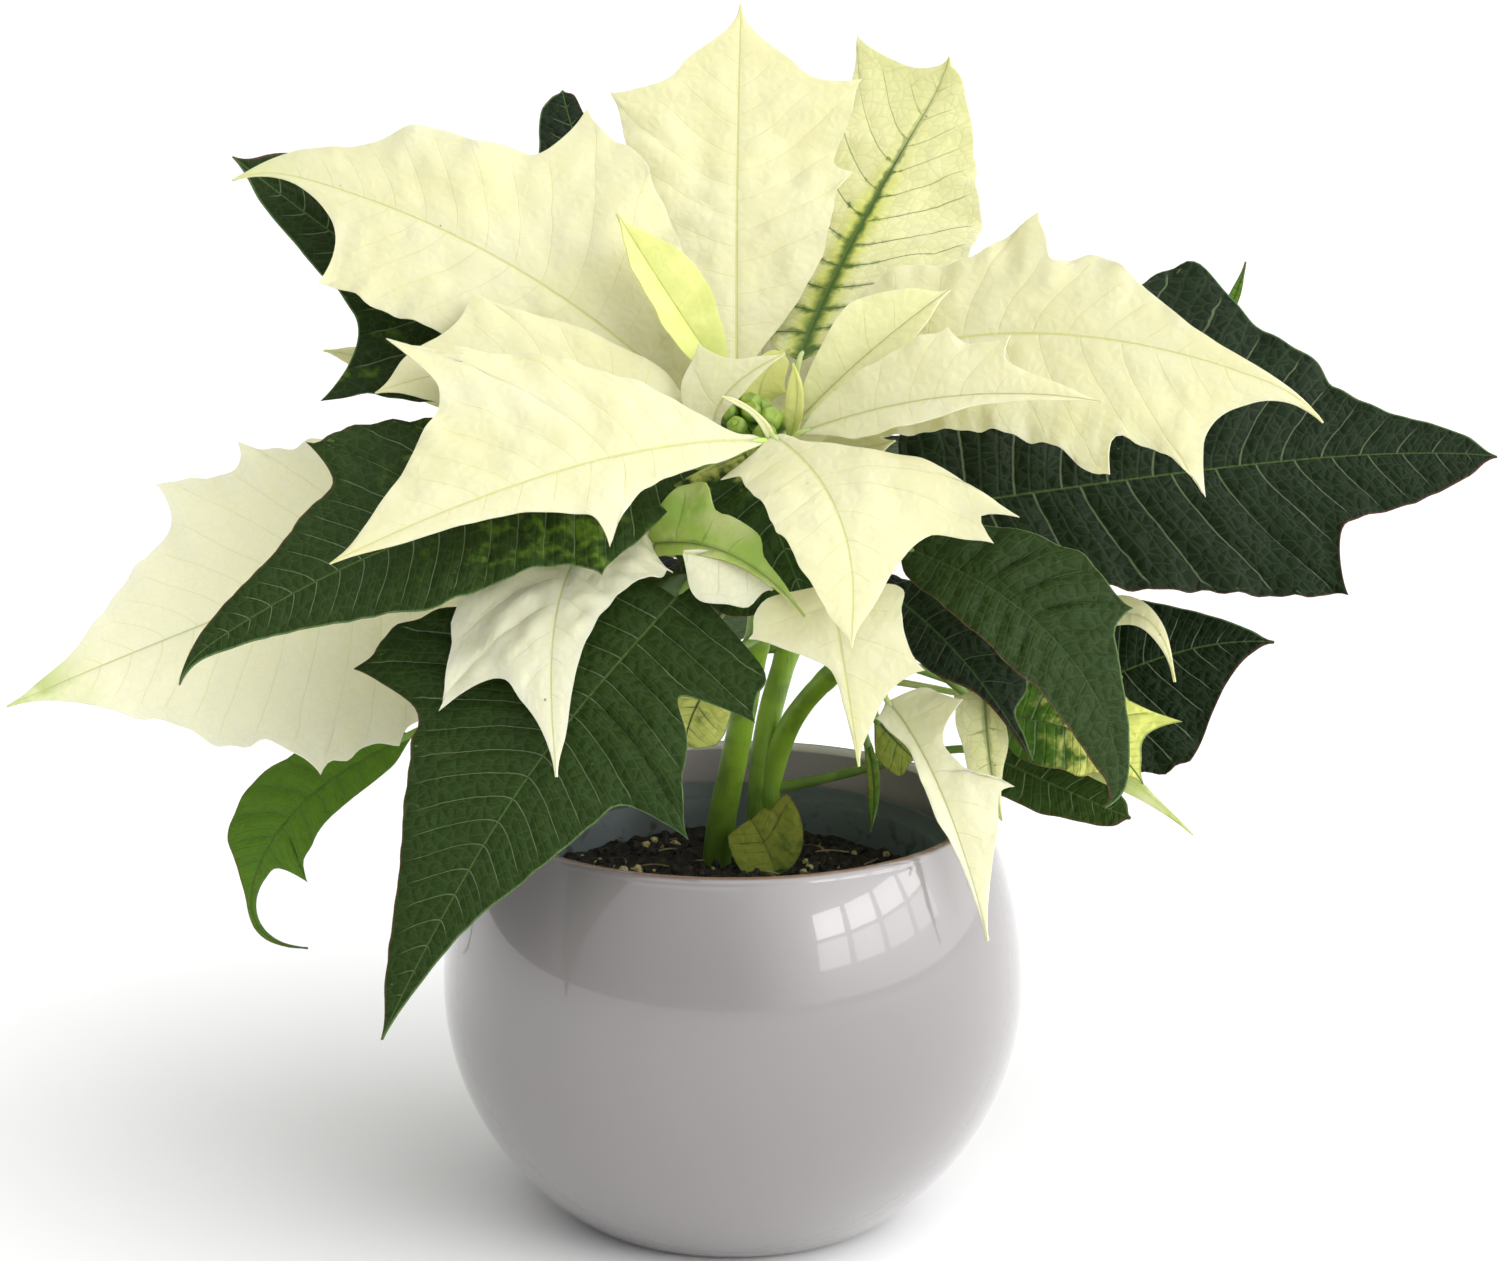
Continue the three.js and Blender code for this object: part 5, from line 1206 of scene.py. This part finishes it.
def blade_shell(leaf, rib, number, skin):
    """One closed blade. A point at the row u and the share w of the way to the margin M is
    x = L u + (Mx - L u) w^1.5, y = My w on the flat blade; bent, it is
    rib(x / L) + y cos(fold) left + (|y| sin(fold) + relief) up. The relief is the quilting between the
    side veins, slow waves, and a ripple that grows to the margin. The upper and lower faces stand half
    the thickness to each side."""
    base = 0.8 * (1 - STALK_TAPER) * stalk_radius(leaf)
    length = rib.length
    gap = leaf.veins * (skin.bract_veins if leaf.finish in BRACT_LOOKS else skin.leaf_veins)
    u, margins, phases = blade_rows(leaf, length, base, skin.step * (SMALL_STEP if leaf.small else 1), gap)
    half = SMALL_COLUMNS if leaf.small else BLADE_COLUMNS
    reach = np.linspace(1, 0, half + 1) ** COLUMN_EASE
    share = np.concatenate([reach, reach[-2::-1]])
    side = np.concatenate([np.ones(half), [0], -np.ones(half)])
    edge = np.where(side[None, :, None] >= 0, margins[0][:, None], margins[1][:, None])
    amount, size = MARGIN_WEAR
    worn = lattice_noise(np.stack([edge[..., 0], 30 * side[None] + 0 * edge[..., 0]], -1), size, number)
    edge = edge * np.stack([1 + 0 * worn, 1 + amount * worn * ease(edge[..., 1], 1, 9)], -1)
    x = length * u[:, None] + (edge[..., 0] - length * u[:, None]) * share ** 1.5
    y = edge[..., 1] * share * side
    phase = np.where(side >= 0, phases[0][:, None], phases[1][:, None])
    sheet = (x, y, u[:, None], share[None], side[None], edge[..., 1])
    relief = blade_relief(leaf, sheet, phase, number, skin)
    fold = np.radians(leaf.fold)
    t = x / length
    rise = abs(y) * np.sin(fold) + relief
    middle = rib.at(rib.centre, t) + rib.at(rib.left, t) * (y * np.cos(fold))[..., None]
    middle = middle + unit(rib.at(rib.up, t)) * rise[..., None]
    normal = unit(np.cross(np.gradient(middle, axis=1), np.gradient(middle, axis=0)))
    thick = skin.edge + (skin.thickness - skin.edge) * (1 - share ** 5)
    shift = normal * (thick / 2)[None, :, None]
    shell = sheet_shell(middle + shift, middle - shift)
    paint_blade(leaf, shell, x, y, u, share, edge[..., 1], phases, number)
    return shell


def blade_relief(leaf, sheet, phase, number, skin):
    """How far the skin stands from the plain blade: crowns (|sin(pi phase)|^0.8) between the side veins,
    small lumps, a groove along the midrib, slow waves, and a ripple along the margin."""
    x, y, u, share, side, width = sheet
    quilt = skin.bract_quilt if leaf.finish in BRACT_LOOKS else skin.leaf_quilt
    aside = abs(y)
    grown = ease(aside, 0.5, 6) * (1 - 0.6 * ease(share, 0.7, 1.0)) * np.clip(width / 18, 0.15, 1)
    even, uneven = (0.45, 0.9) if leaf.finish in BRACT_LOOKS else (1, 0.35)
    crowns = even * (abs(np.sin(np.pi * (phase + 0.2 * share ** 3))) ** CROWN_SHAPE - 0.5)
    small = uneven * lattice_noise(np.stack([x, y, 0 * x + number * 5.3], -1), QUILT_LUMP, 3)
    depth, half_width = GROOVE
    groove = -depth * np.exp(-((aside / half_width) ** 2)) * (1 - 0.6 * u)
    height, size = WAVE
    slow = lattice_noise(np.stack([x, y, 0 * x + number * 3.1], -1), size, 1)
    spread = np.clip(width / 30, 0.1, 1)
    wave = height * leaf.wave * slow * ease(aside, 2, 16) * spread
    height, pace = RIPPLE
    run = x * pace + side * 1.7 + number
    frill = np.sin(run) + 0.6 * np.sin(2.3 * run + 1)
    ripple = height * leaf.ripple * frill * share ** 3 * spread
    return quilt * leaf.quilt * grown * (crowns + small) + groove + wave + ripple


def sheet_shell(upper, lower):
    """A closed shell from an upper and a lower grid of the same shape, joined round their edge."""
    rows, columns = upper.shape[:2]
    count = rows * columns
    front = grid_quads(rows, columns).reshape(-1, 4)
    numbers = np.arange(count).reshape(rows, columns)
    ring = np.concatenate([numbers[0, :-1], numbers[:-1, -1], numbers[-1, :0:-1], numbers[:0:-1, 0]])
    after = np.roll(ring, -1)
    rim = np.stack([after, ring, ring + count, after + count], -1)
    points = np.vstack([upper.reshape(-1, 3), lower.reshape(-1, 3)])
    return Shell(points, np.vstack([front, front[:, ::-1] + count, rim]))


def paint_blade(leaf, shell, x, y, u, share, width, phases, number):
    """The corner attributes that the skins read. Quads left of the midrib take the left side's phase."""
    columns = x.shape[1]
    corner = shell.quads % x.size
    is_left = (corner % columns).mean(axis=1, keepdims=True) < (columns - 1) / 2
    row = corner // columns
    phase = np.where(is_left, phases[0][row], phases[1][row])
    along = x.ravel()[corner] / x.max()
    distance = (width * (1 - share)).ravel()[corner]
    under = (shell.quads >= x.size).all(axis=1, keepdims=True) + 0 * phase
    blank = 0 * phase
    green = leaf.green[0] * (1 - ease(along, 0, 0.5)) + leaf.green[1] * ease(along, 0.8, 1) + leaf.green[2]
    wide_share = np.broadcast_to(share, x.shape).ravel()[corner]
    shell.marks = {
        "vein": np.stack([phase, wide_share, distance], -1),
        "flat": np.stack([x.ravel()[corner], y.ravel()[corner], blank + number], -1),
        "mark": np.stack([u[row], under, blank + leaf.tone], -1),
        "tint": np.stack([bell(along, leaf.marble), bell(along, leaf.feather), green], -1),
    }


def bell(along, shape):
    """amount exp(-((along - middle) / width)^2)."""
    middle, width, amount = shape
    return amount * np.exp(-(((along - middle) / width) ** 2))


def stalk_radius(leaf):
    return leaf.stalk or (BRACT_STALK if leaf.finish in BRACT_LOOKS else LEAF_STALK)


def stalk_shell(leaf, rib):
    """The stalk: a Bezier curve out of the stem and round to the blade's base, which runs on under the
    midrib and thins to its tip."""
    start = stem_point(leaf.stem, leaf.at)
    base = rib.centre[0]
    along = rib.along[2]
    gap = base - start
    reach = np.linalg.norm(gap) * STALK_BOW
    out = unit(np.array(leaf.out, float) if leaf.out else gap * FLAT)
    t = np.linspace(0, 1, 60)[:, None]
    ends = (start, start + out * reach, base - along * reach / 2, base)
    bend = sum(math.comb(3, k) * (1 - t) ** (3 - k) * t**k * end for k, end in enumerate(ends))
    thick = stalk_radius(leaf)
    free = np.linalg.norm(np.diff(bend, axis=0), axis=1).sum()
    count = max(10, int(free / STALK_STEP))
    free_path = resample(bend, count)
    share = np.linspace(0, 1, count)
    flare, reach = STALK_FLARE
    free_radius = thick * (1 - STALK_TAPER * share) * (1 + flare * np.exp(-share * free / reach))
    under_count = max(10, int(rib.length * 0.9 / 2))
    ahead = np.linspace(0, RIB_END, under_count + 1)[1:]
    thin = thick * (1 - STALK_TAPER) * (1 - ahead) ** 0.8 + RIB_TIP
    sunk = ease(ahead, 0, 0.06) * (thin + 0.45)
    under_path = rib.at(rib.centre, ahead) - rib.at(rib.up, ahead) * sunk[:, None]
    path = np.vstack([free_path, under_path])
    return ring_shell(tube_rings(path, np.concatenate([free_radius, thin]), STALK_SIDES), slot=1)


def free_base_shell(rib):
    """The rib under a blade that has no stalk."""
    ahead = np.linspace(0.0, RIB_END, 30)
    thin = 0.9 * (1 - ahead) ** 0.8 + RIB_TIP
    path = rib.at(rib.centre, ahead) - rib.at(rib.up, ahead) * (thin + 0.4)[:, None]
    return ring_shell(tube_rings(path, thin, STALK_SIDES), slot=1)


def hang_leaves(skins, stalk, settings):
    """Every blade of these finishes, with its stalk, as one piece that stands for its solid. Its slot has
    its skin's name."""
    for number, leaf in enumerate(LEAVES):
        if leaf.finish in skins:
            shells = leaf_shells(leaf, number, settings)
            make_piece(f"{leaf.name}_fine", shells, [skins[leaf.finish], stalk], leaf.name)


def leaf_shells(leaf, number, skin):
    """The blade, what shows of it where it folds over, and the stalk."""
    rib = Rib(leaf)
    shells = [blade_shell(leaf, rib, number, skin)]
    if leaf.name in FOLDED:
        folded = FOLDED[leaf.name]
        shells.append(blade_shell(folded, Rib(folded), number + 0.5, skin))
    shells.append(stalk_shell(leaf, rib) if leaf.stem else free_base_shell(rib))
    return shells


# ---------------------------------------------------------------- pots and soil
FOOT_ROUND = 1.6  # mm
POT_SIDES = 192
LINER_SIDES = 144
SOIL_SIDES = 260
POT_UNEVEN = (0.12, 38)  # height and size of the hand-made unevenness, in mm


def pot_radius(pot, z):
    """Outer radius at a height: R sqrt(1 - ((z - belly) / half)^2)."""
    half = np.where(z < pot.belly_height, pot.lower_half, pot.upper_half)
    return pot.belly_radius * np.sqrt(1 - ((z - pot.belly_height) / half) ** 2)


def cover_pot_shell(pot):
    """The pot turned round its axis: a flat foot with a soft edge, the two-part ellipse outside, the round
    lip, and the wall inside."""
    z = np.linspace(FOOT_ROUND, pot.lip_height, 110)
    outside = np.stack([pot_radius(pot, z), z], -1)
    z = FOOT_ROUND + FOOT_ROUND * np.sin(np.linspace(-np.pi / 2, -0.35, 8))
    corner = np.stack([np.interp(z, [0, FOOT_ROUND], [pot.foot_radius - 1.0, outside[0, 0]]), z], -1)
    sole = [(r, 0.0) for r in (1.0, 12, 24, 32, pot.foot_radius - 5)]
    turn = np.linspace(0, np.pi, 22)[1:-1]
    lip = np.stack([pot.lip_place + pot.lip_radius * np.cos(turn),
                    pot.lip_height + pot.lip_radius * np.sin(turn)], -1)
    z = np.linspace(pot.lip_height, pot.floor + 3, 70)
    inside = np.stack([pot_radius(pot, z) - pot.wall, z], -1)
    bottom = [(r, pot.floor) for r in (inside[-1, 0] - 4, 24, 12, 1.0)]
    profile = np.vstack([sole, corner, outside, lip, inside, bottom])
    rings = revolve(profile, POT_SIDES)
    height, size = POT_UNEVEN
    uneven = lattice_noise(rings, size, 2)[..., None] * height * ease(rings[..., 2:], 2, 20)
    rings[..., :2] = rings[..., :2] * (1 + uneven / pot.belly_radius)
    shell = ring_shell(rings)
    beyond = np.arange(len(profile)) > len(sole) + len(corner) + len(outside) + len(lip) / 2
    inner = np.repeat(beyond.astype(float), rings.shape[1])[shell.quads]
    shell.marks = {"wall": np.stack([inner, inner, inner], -1)}
    return shell


LINER_RIM = (58, 98, 5)  # radius, height and depth of the growing pot's rim
LINER_TOP_RADIUS = 55.5
LINER_FOOT_RADIUS = 38
LINER_WALL = 1.2
CLEARANCE = 0.3


def growing_pot_shell(pot):
    """The plastic pot turned round its axis, with a rolled rim that hangs over the wall."""
    rim_radius, rim_top, rim_depth = LINER_RIM
    foot = pot.floor + CLEARANCE
    shoulder = rim_top - rim_depth
    inner = rim_radius - LINER_WALL
    outside = zip(np.linspace(LINER_FOOT_RADIUS, LINER_TOP_RADIUS, 30), np.linspace(foot + 1, shoulder, 30))
    profile = [
        (1, foot), (20, foot), (LINER_FOOT_RADIUS - 1, foot), *outside,
        (rim_radius - 0.6, shoulder), (rim_radius, shoulder + 0.4), (rim_radius, rim_top - 0.6),
        (rim_radius - 0.25, rim_top - 0.1), (rim_radius - 0.6, rim_top), (inner + 0.25, rim_top - 0.1),
        (inner, rim_top - 0.5), (inner, shoulder + LINER_WALL + 0.4), (inner - 0.5, shoulder + LINER_WALL),
        (LINER_TOP_RADIUS - LINER_WALL + 0.3, shoulder + LINER_WALL / 2 + 0.3),
        *zip(np.linspace(LINER_TOP_RADIUS - LINER_WALL, LINER_FOOT_RADIUS - LINER_WALL, 30),
             np.linspace(shoulder + LINER_WALL / 2 - 0.3, foot + LINER_WALL, 30)),
        (20, foot + LINER_WALL), (1, foot + LINER_WALL),
    ]
    return ring_shell(revolve(profile, LINER_SIDES))


def liner_radius(z, pot):
    low, high = pot.floor + CLEARANCE, LINER_RIM[1] - LINER_RIM[2]
    return LINER_FOOT_RADIUS + (LINER_TOP_RADIUS - LINER_FOOT_RADIUS) * (z - low) / (high - low)


SOIL_RELIEF = 1.6
CRUMBS = (420, (0.5, 1.5), 21)  # how many, their sizes in mm, and the seed of the draw
PALE_CRUMBS = (170, (0.4, 1.5), 22)
FIBRES = (60, 23)


def soil_hump(x, y, edge):
    """Low humps: two crossed waves that die out at the wall, as the solid has them."""
    calm = 1 - ((x * x + y * y) / edge**2) ** 2
    return SOIL_RELIEF * calm * (np.sin(x / 7 + 1) * np.cos(y / 9) + 0.5 * np.sin((x + y) / 4))


def soil_top(pot, x, y):
    """The soil's height over its level: the humps, clods and loose crumbs."""
    edge = liner_radius(pot.soil_height, pot)
    place = np.stack([x, y], -1)
    clods = np.maximum(lattice_noise(place, 6.5, 11), 0) * 1.5
    crumbs = np.maximum(lattice_noise(place, 2.4, 12), 0) * 1.2 + lattice_noise(place, 1.2, 13) * 0.35
    return soil_hump(x, y, edge) + clods + crumbs - 0.7


def soil_shell(pot):
    """The soil: a disc of rings whose heights follow the soil's relief, over a plain tapered body."""
    bottom = pot.floor + CLEARANCE + LINER_WALL + CLEARANCE
    edge = liner_radius(pot.soil_height, pot) - LINER_WALL - CLEARANCE
    foot = liner_radius(bottom, pot) - LINER_WALL - CLEARANCE
    halfway = ((foot + edge) / 2, (bottom + pot.soil_height) / 2)
    below = [(1, bottom), (20, bottom), (foot, bottom), halfway]
    level = [(r, pot.soil_height) for r in np.linspace(edge, 0.6, 92)]
    rings = revolve(below + level, SOIL_SIDES)
    top = rings[len(below) :]
    top[..., 2] += soil_top(pot, top[..., 0], top[..., 1])
    return ring_shell(rings)


def soil_spot(draw, edge):
    """A random place on the soil, drawn evenly over the area within edge."""
    far, angle = edge * math.sqrt(draw.uniform(0, 1)), draw.uniform(0, 2 * math.pi)
    return np.array([far * math.cos(angle), far * math.sin(angle)])


def pebble_rings(size, seed):
    """A small lump: a ball squashed by a different amount each way and dented by noise."""
    s = np.linspace(-0.93, 0.93, 5)[:, None]
    turn = around(8)[None]
    radius = np.sqrt(1 - s * s)
    ball = np.stack([radius * np.cos(turn), radius * np.sin(turn), s + 0 * turn], -1)
    return ball * size * (1 + 0.3 * lattice_noise(ball, 0.9, seed))[..., None]


def scatter_shells(pot, count, sizes, seed, slot):
    """Crumbs spread over the soil by a seeded draw, each sunk a little into it."""
    draw = np.random.default_rng(seed)
    edge = liner_radius(pot.soil_height, pot) - LINER_WALL - 2.5
    shells = []
    for k in range(count):
        x, y = soil_spot(draw, edge)
        size = draw.uniform(*sizes) * draw.uniform(0.7, 1.3, 3)
        ground = pot.soil_height + soil_top(pot, x, y)
        spin = turn_to(draw.normal(size=3))
        rings = pebble_rings(size, k) @ spin.T + np.array([x, y, float(ground) + size.mean() * 0.25])
        shells.append(ring_shell(rings, slot))
    return shells


def fibre_shells(pot, count, seed, slot):
    """Thin peat fibres that lie on the soil in shallow bows."""
    draw = np.random.default_rng(seed)
    edge = liner_radius(pot.soil_height, pot) - LINER_WALL - 8
    shells = []
    for _ in range(count):
        middle = soil_spot(draw, edge)
        heading, bow, span = draw.uniform(0, math.pi), draw.uniform(-1.5, 1.5), draw.uniform(2, 5)
        t = np.linspace(-1, 1, 9)
        way = np.array([math.cos(heading), math.sin(heading)])
        across = np.array([-way[1], way[0]])
        flat = middle + t[:, None] * way * span + (bow * (1 - t * t))[:, None] * across
        ground = pot.soil_height + soil_top(pot, flat[:, 0], flat[:, 1])
        lifted = ground.mean() + 0.8 + 0.5 * (1 - t * t)
        path = np.column_stack([flat, np.maximum(lifted, ground + 0.1)])
        shells.append(ring_shell(tube_rings(path, 0.22, 6), slot))
    return shells


# ---------------------------------------------------------------- operators
class PieceMaker:
    """What the operators share: they can be undone, need a scene, and call build with it."""

    bl_options = {"REGISTER", "UNDO"}

    @classmethod
    def poll(cls, context):
        return context.scene is not None

    def execute(self, context):
        self.build(context.scene)
        return {"FINISHED"}


class POINSETTIA_OT_cover_pot(PieceMaker, bpy.types.Operator):
    """Turn the glazed cover pot"""

    bl_idname = "poinsettia.cover_pot"
    bl_label = "Cover pot"

    def build(self, scene):
        pot = scene.poinsettia_pot
        make_piece("cover_pot_fine", [cover_pot_shell(pot)], [glaze(pot)], "cover_pot")


class POINSETTIA_OT_growing_pot(PieceMaker, bpy.types.Operator):
    """Turn the plastic growing pot"""

    bl_idname = "poinsettia.growing_pot"
    bl_label = "Growing pot"

    def build(self, scene):
        pot = scene.poinsettia_pot
        shells = [growing_pot_shell(pot)]
        make_piece("growing_pot_fine", shells, [growing_plastic(pot)], "growing_pot")


class POINSETTIA_OT_soil(PieceMaker, bpy.types.Operator):
    """Lay the potting soil with its crumbs and fibres"""

    bl_idname = "poinsettia.soil"
    bl_label = "Soil"

    def build(self, scene):
        pot = scene.poinsettia_pot
        shells = [soil_shell(pot)]
        shells += scatter_shells(pot, *CRUMBS, slot=0)
        shells += scatter_shells(pot, *PALE_CRUMBS, slot=1)
        shells += fibre_shells(pot, *FIBRES, slot=2)
        fibre = stalk_skin("fibre", pot.peat_dry, pot.pebble)
        make_piece("potting_soil_fine", shells, [peat(pot), pale_crumb(pot), fibre], "potting_soil")


class POINSETTIA_OT_stems(PieceMaker, bpy.types.Operator):
    """Grow the two stems and the fork"""

    bl_idname = "poinsettia.stems"
    bl_label = "Stems"

    def build(self, scene):
        skin = stem_skin(scene.poinsettia_stem)
        make_piece("stem_front_fine", [stem_shell("front")], [skin], "stem_front")
        make_piece("stem_back_fine", [stem_shell("back"), stem_shell("right")], [skin], "stem_back")


class POINSETTIA_OT_flowers(PieceMaker, bpy.types.Operator):
    """Set the head of green buds on the front stem"""

    bl_idname = "poinsettia.flowers"
    bl_label = "Flower head"

    def build(self, scene):
        skin = bud_skin(scene.poinsettia_stem)
        make_piece("flower_head_fine", bud_shells(), [skin], "flower_head")


class POINSETTIA_OT_bracts(PieceMaker, bpy.types.Operator):
    """Hang the pale bracts"""

    bl_idname = "poinsettia.bracts"
    bl_label = "Bracts"

    def build(self, scene):
        bracts, stems, settings = scene.poinsettia_bract, scene.poinsettia_stem, scene.poinsettia_skin
        stalk = stalk_skin("bract_stalk", stems.bract_stalk, stems.fresh)
        skins = {}
        for finish, (*names, boldness) in BRACT_LOOKS.items():
            colours = [getattr(bracts, name) for name in names]
            skins[finish] = bract_skin(f"{finish}_bract", bracts, settings.bract_veins, *colours, boldness)
        hang_leaves(skins, stalk, settings)


class POINSETTIA_OT_leaves(PieceMaker, bpy.types.Operator):
    """Hang the green leaves"""

    bl_idname = "poinsettia.leaves"
    bl_label = "Leaves"

    def build(self, scene):
        leaves, stems, settings = scene.poinsettia_leaf, scene.poinsettia_stem, scene.poinsettia_skin
        stalk = stalk_skin("leaf_stalk", stems.leaf_stalk, stems.old)
        skins = {}
        for finish, names in LEAF_LOOKS.items():
            colours = [getattr(leaves, name) for name in names]
            skins[finish] = leaf_skin(f"{finish}_leaf", leaves, settings.leaf_veins, *colours)
        hang_leaves(skins, stalk, settings)


# ---------------------------------------------------------------- floor, light and camera, in metres
CAMERA_PLACE = (0.0044, -0.9886, 0.3973)
CAMERA_TILT = 76.2  # degrees from straight down
CAMERA_LENS = 96  # mm
FLOOR_REACH = 6
BRIGHT_WAY = (0.93, -0.2, 0.3)
MAIN_LIGHT = ((-0.35, -0.8, 1.5), (0, 0, 0.16), 1.3, 1.3)  # place, target, width and height, in metres
PANE_TARGET = (0.04, -0.05, 0.1)
PANE_SIZE = (0.33, 0.21)
PANE_COLUMNS = 4
PANE_ROWS = 2
PANE_DISTANCE = 1.5
PANE_HEIGHTS = (0.4, 0.25)  # of the lowest row, and from row to row
PANE_TURNS = (41, 15)  # degrees to the viewer's right of the first column, and from column to column


def soft_light(name, place, target, width, height, power):
    """A rectangular light that faces target."""
    light = bpy.data.lights.new(name, "AREA")
    light.shape = "RECTANGLE"
    light.size, light.size_y = width, height
    light.energy = power
    lamp = bpy.data.objects.new(name, light)
    bpy.context.scene.collection.objects.link(lamp)
    lamp.location = place
    lamp.rotation_euler = (Vector(target) - Vector(place)).to_track_quat("-Z", "Y").to_euler()


def studio(stage):
    """The surrounding light: brightest from the viewer's right, some from above and from the viewer, and
    little from the left."""
    board = Board(bpy.data.worlds.new("studio"))
    way = board.node("ShaderNodeTexCoord", {}, {}).outputs["Generated"]
    toward = board.node("ShaderNodeVectorMath", {"operation": "DOT_PRODUCT"}, {0: way, 1: BRIGHT_WAY})
    bright = board.rise(Number(board, toward.outputs["Value"]), 0.2, 1.0)
    front = 1 - board.rise(board.parts(way)[1], -0.9, 0.1)
    above = board.rise(board.parts(way)[2], 0.0, 1.0)
    strength = stage.shade + stage.side * bright + stage.overhead * above + stage.front * front
    shine = board.node("ShaderNodeBackground", {}, {"Color": (1, 1, 1, 1), "Strength": strength})
    board.node("ShaderNodeOutputWorld", {}, {"Surface": shine.outputs[0]})
    return board.owner


def lay_floor(scene, stage):
    """One large pale square that stands for no piece."""
    board = Board.material("floor")
    even = board.noise(board.position(), 200)
    board.finish(board.mix(0.1 * even, stage.floor, (1.0, 1.0, 1.0)), 0.8, 0.01 * even)
    mesh = bpy.data.meshes.new("floor")
    corners = [(x * FLOOR_REACH, y * FLOOR_REACH, 0) for x, y in ((-1, -1), (1, -1), (1, 1), (-1, 1))]
    mesh.from_pydata(corners, [], [(0, 1, 2, 3)])
    mesh.materials.append(board.owner)
    floor = bpy.data.objects.new("floor", mesh)
    scene.collection.objects.link(floor)


def window_lights(stage):
    """A window of small panes to the viewer's right, brighter above and towards its first column."""
    for column, row in product(range(PANE_COLUMNS), range(PANE_ROWS)):
        turn = math.radians(PANE_TURNS[0] + PANE_TURNS[1] * column)
        height = PANE_HEIGHTS[0] + PANE_HEIGHTS[1] * row
        place = (PANE_DISTANCE * math.sin(turn), -PANE_DISTANCE * math.cos(turn), height)
        power = stage.pane * (0.45 + 0.55 * row) * (1.15 - 0.15 * column)
        soft_light(f"window_pane_{column}_{row}", place, PANE_TARGET, *PANE_SIZE, power)


def set_camera(scene):
    camera = bpy.data.cameras.new("camera")
    camera.lens = CAMERA_LENS
    viewer = bpy.data.objects.new("camera", camera)
    scene.collection.objects.link(viewer)
    viewer.location = CAMERA_PLACE
    viewer.rotation_euler = (math.radians(CAMERA_TILT), 0, 0)
    scene.camera = viewer


class POINSETTIA_OT_stage(PieceMaker, bpy.types.Operator):
    """Set the floor, the soft light and the camera"""

    bl_idname = "poinsettia.stage"
    bl_label = "Stage"

    def build(self, scene):
        stage = scene.poinsettia_stage
        lay_floor(scene, stage)
        scene.world = studio(stage)
        soft_light("main_light", *MAIN_LIGHT, stage.key)
        window_lights(stage)
        set_camera(scene)
        scene.view_settings.view_transform = "Standard"


class POINSETTIA_PT_panel(bpy.types.Panel):
    """The pieces, and the sizes and colours they are made with"""

    bl_idname = "POINSETTIA_PT_panel"
    bl_label = "Potted poinsettia"
    bl_space_type = "VIEW_3D"
    bl_region_type = "UI"
    bl_category = "Poinsettia"

    def draw(self, context):
        for operator in OPERATORS:
            self.layout.operator(operator.bl_idname)
        for name, group in SETTINGS.items():
            box = self.layout.box()
            box.label(text=group.__doc__)
            for key in group.__annotations__:
                box.prop(getattr(context.scene, name), key)


SETTINGS = {
    "poinsettia_pot": PotSettings,
    "poinsettia_stem": StemSettings,
    "poinsettia_bract": BractSettings,
    "poinsettia_leaf": LeafSettings,
    "poinsettia_skin": SkinSettings,
    "poinsettia_stage": StageSettings,
}
OPERATORS = (
    POINSETTIA_OT_cover_pot,
    POINSETTIA_OT_growing_pot,
    POINSETTIA_OT_soil,
    POINSETTIA_OT_stems,
    POINSETTIA_OT_flowers,
    POINSETTIA_OT_bracts,
    POINSETTIA_OT_leaves,
    POINSETTIA_OT_stage,
)


def register():
    for name, group in SETTINGS.items():
        bpy.utils.register_class(group)
        setattr(bpy.types.Scene, name, PointerProperty(type=group))
    for item in (*OPERATORS, POINSETTIA_PT_panel):
        bpy.utils.register_class(item)


def unregister():
    for item in (POINSETTIA_PT_panel, *reversed(OPERATORS)):
        bpy.utils.unregister_class(item)
    for name, group in SETTINGS.items():
        delattr(bpy.types.Scene, name)
        bpy.utils.unregister_class(group)


def main():
    """Makes every piece, then the floor, the light and the camera."""
    register()
    bpy.ops.poinsettia.cover_pot()
    bpy.ops.poinsettia.growing_pot()
    bpy.ops.poinsettia.soil()
    bpy.ops.poinsettia.stems()
    bpy.ops.poinsettia.flowers()
    bpy.ops.poinsettia.bracts()
    bpy.ops.poinsettia.leaves()
    bpy.ops.poinsettia.stage()


if __name__ == "__main__":
    main()
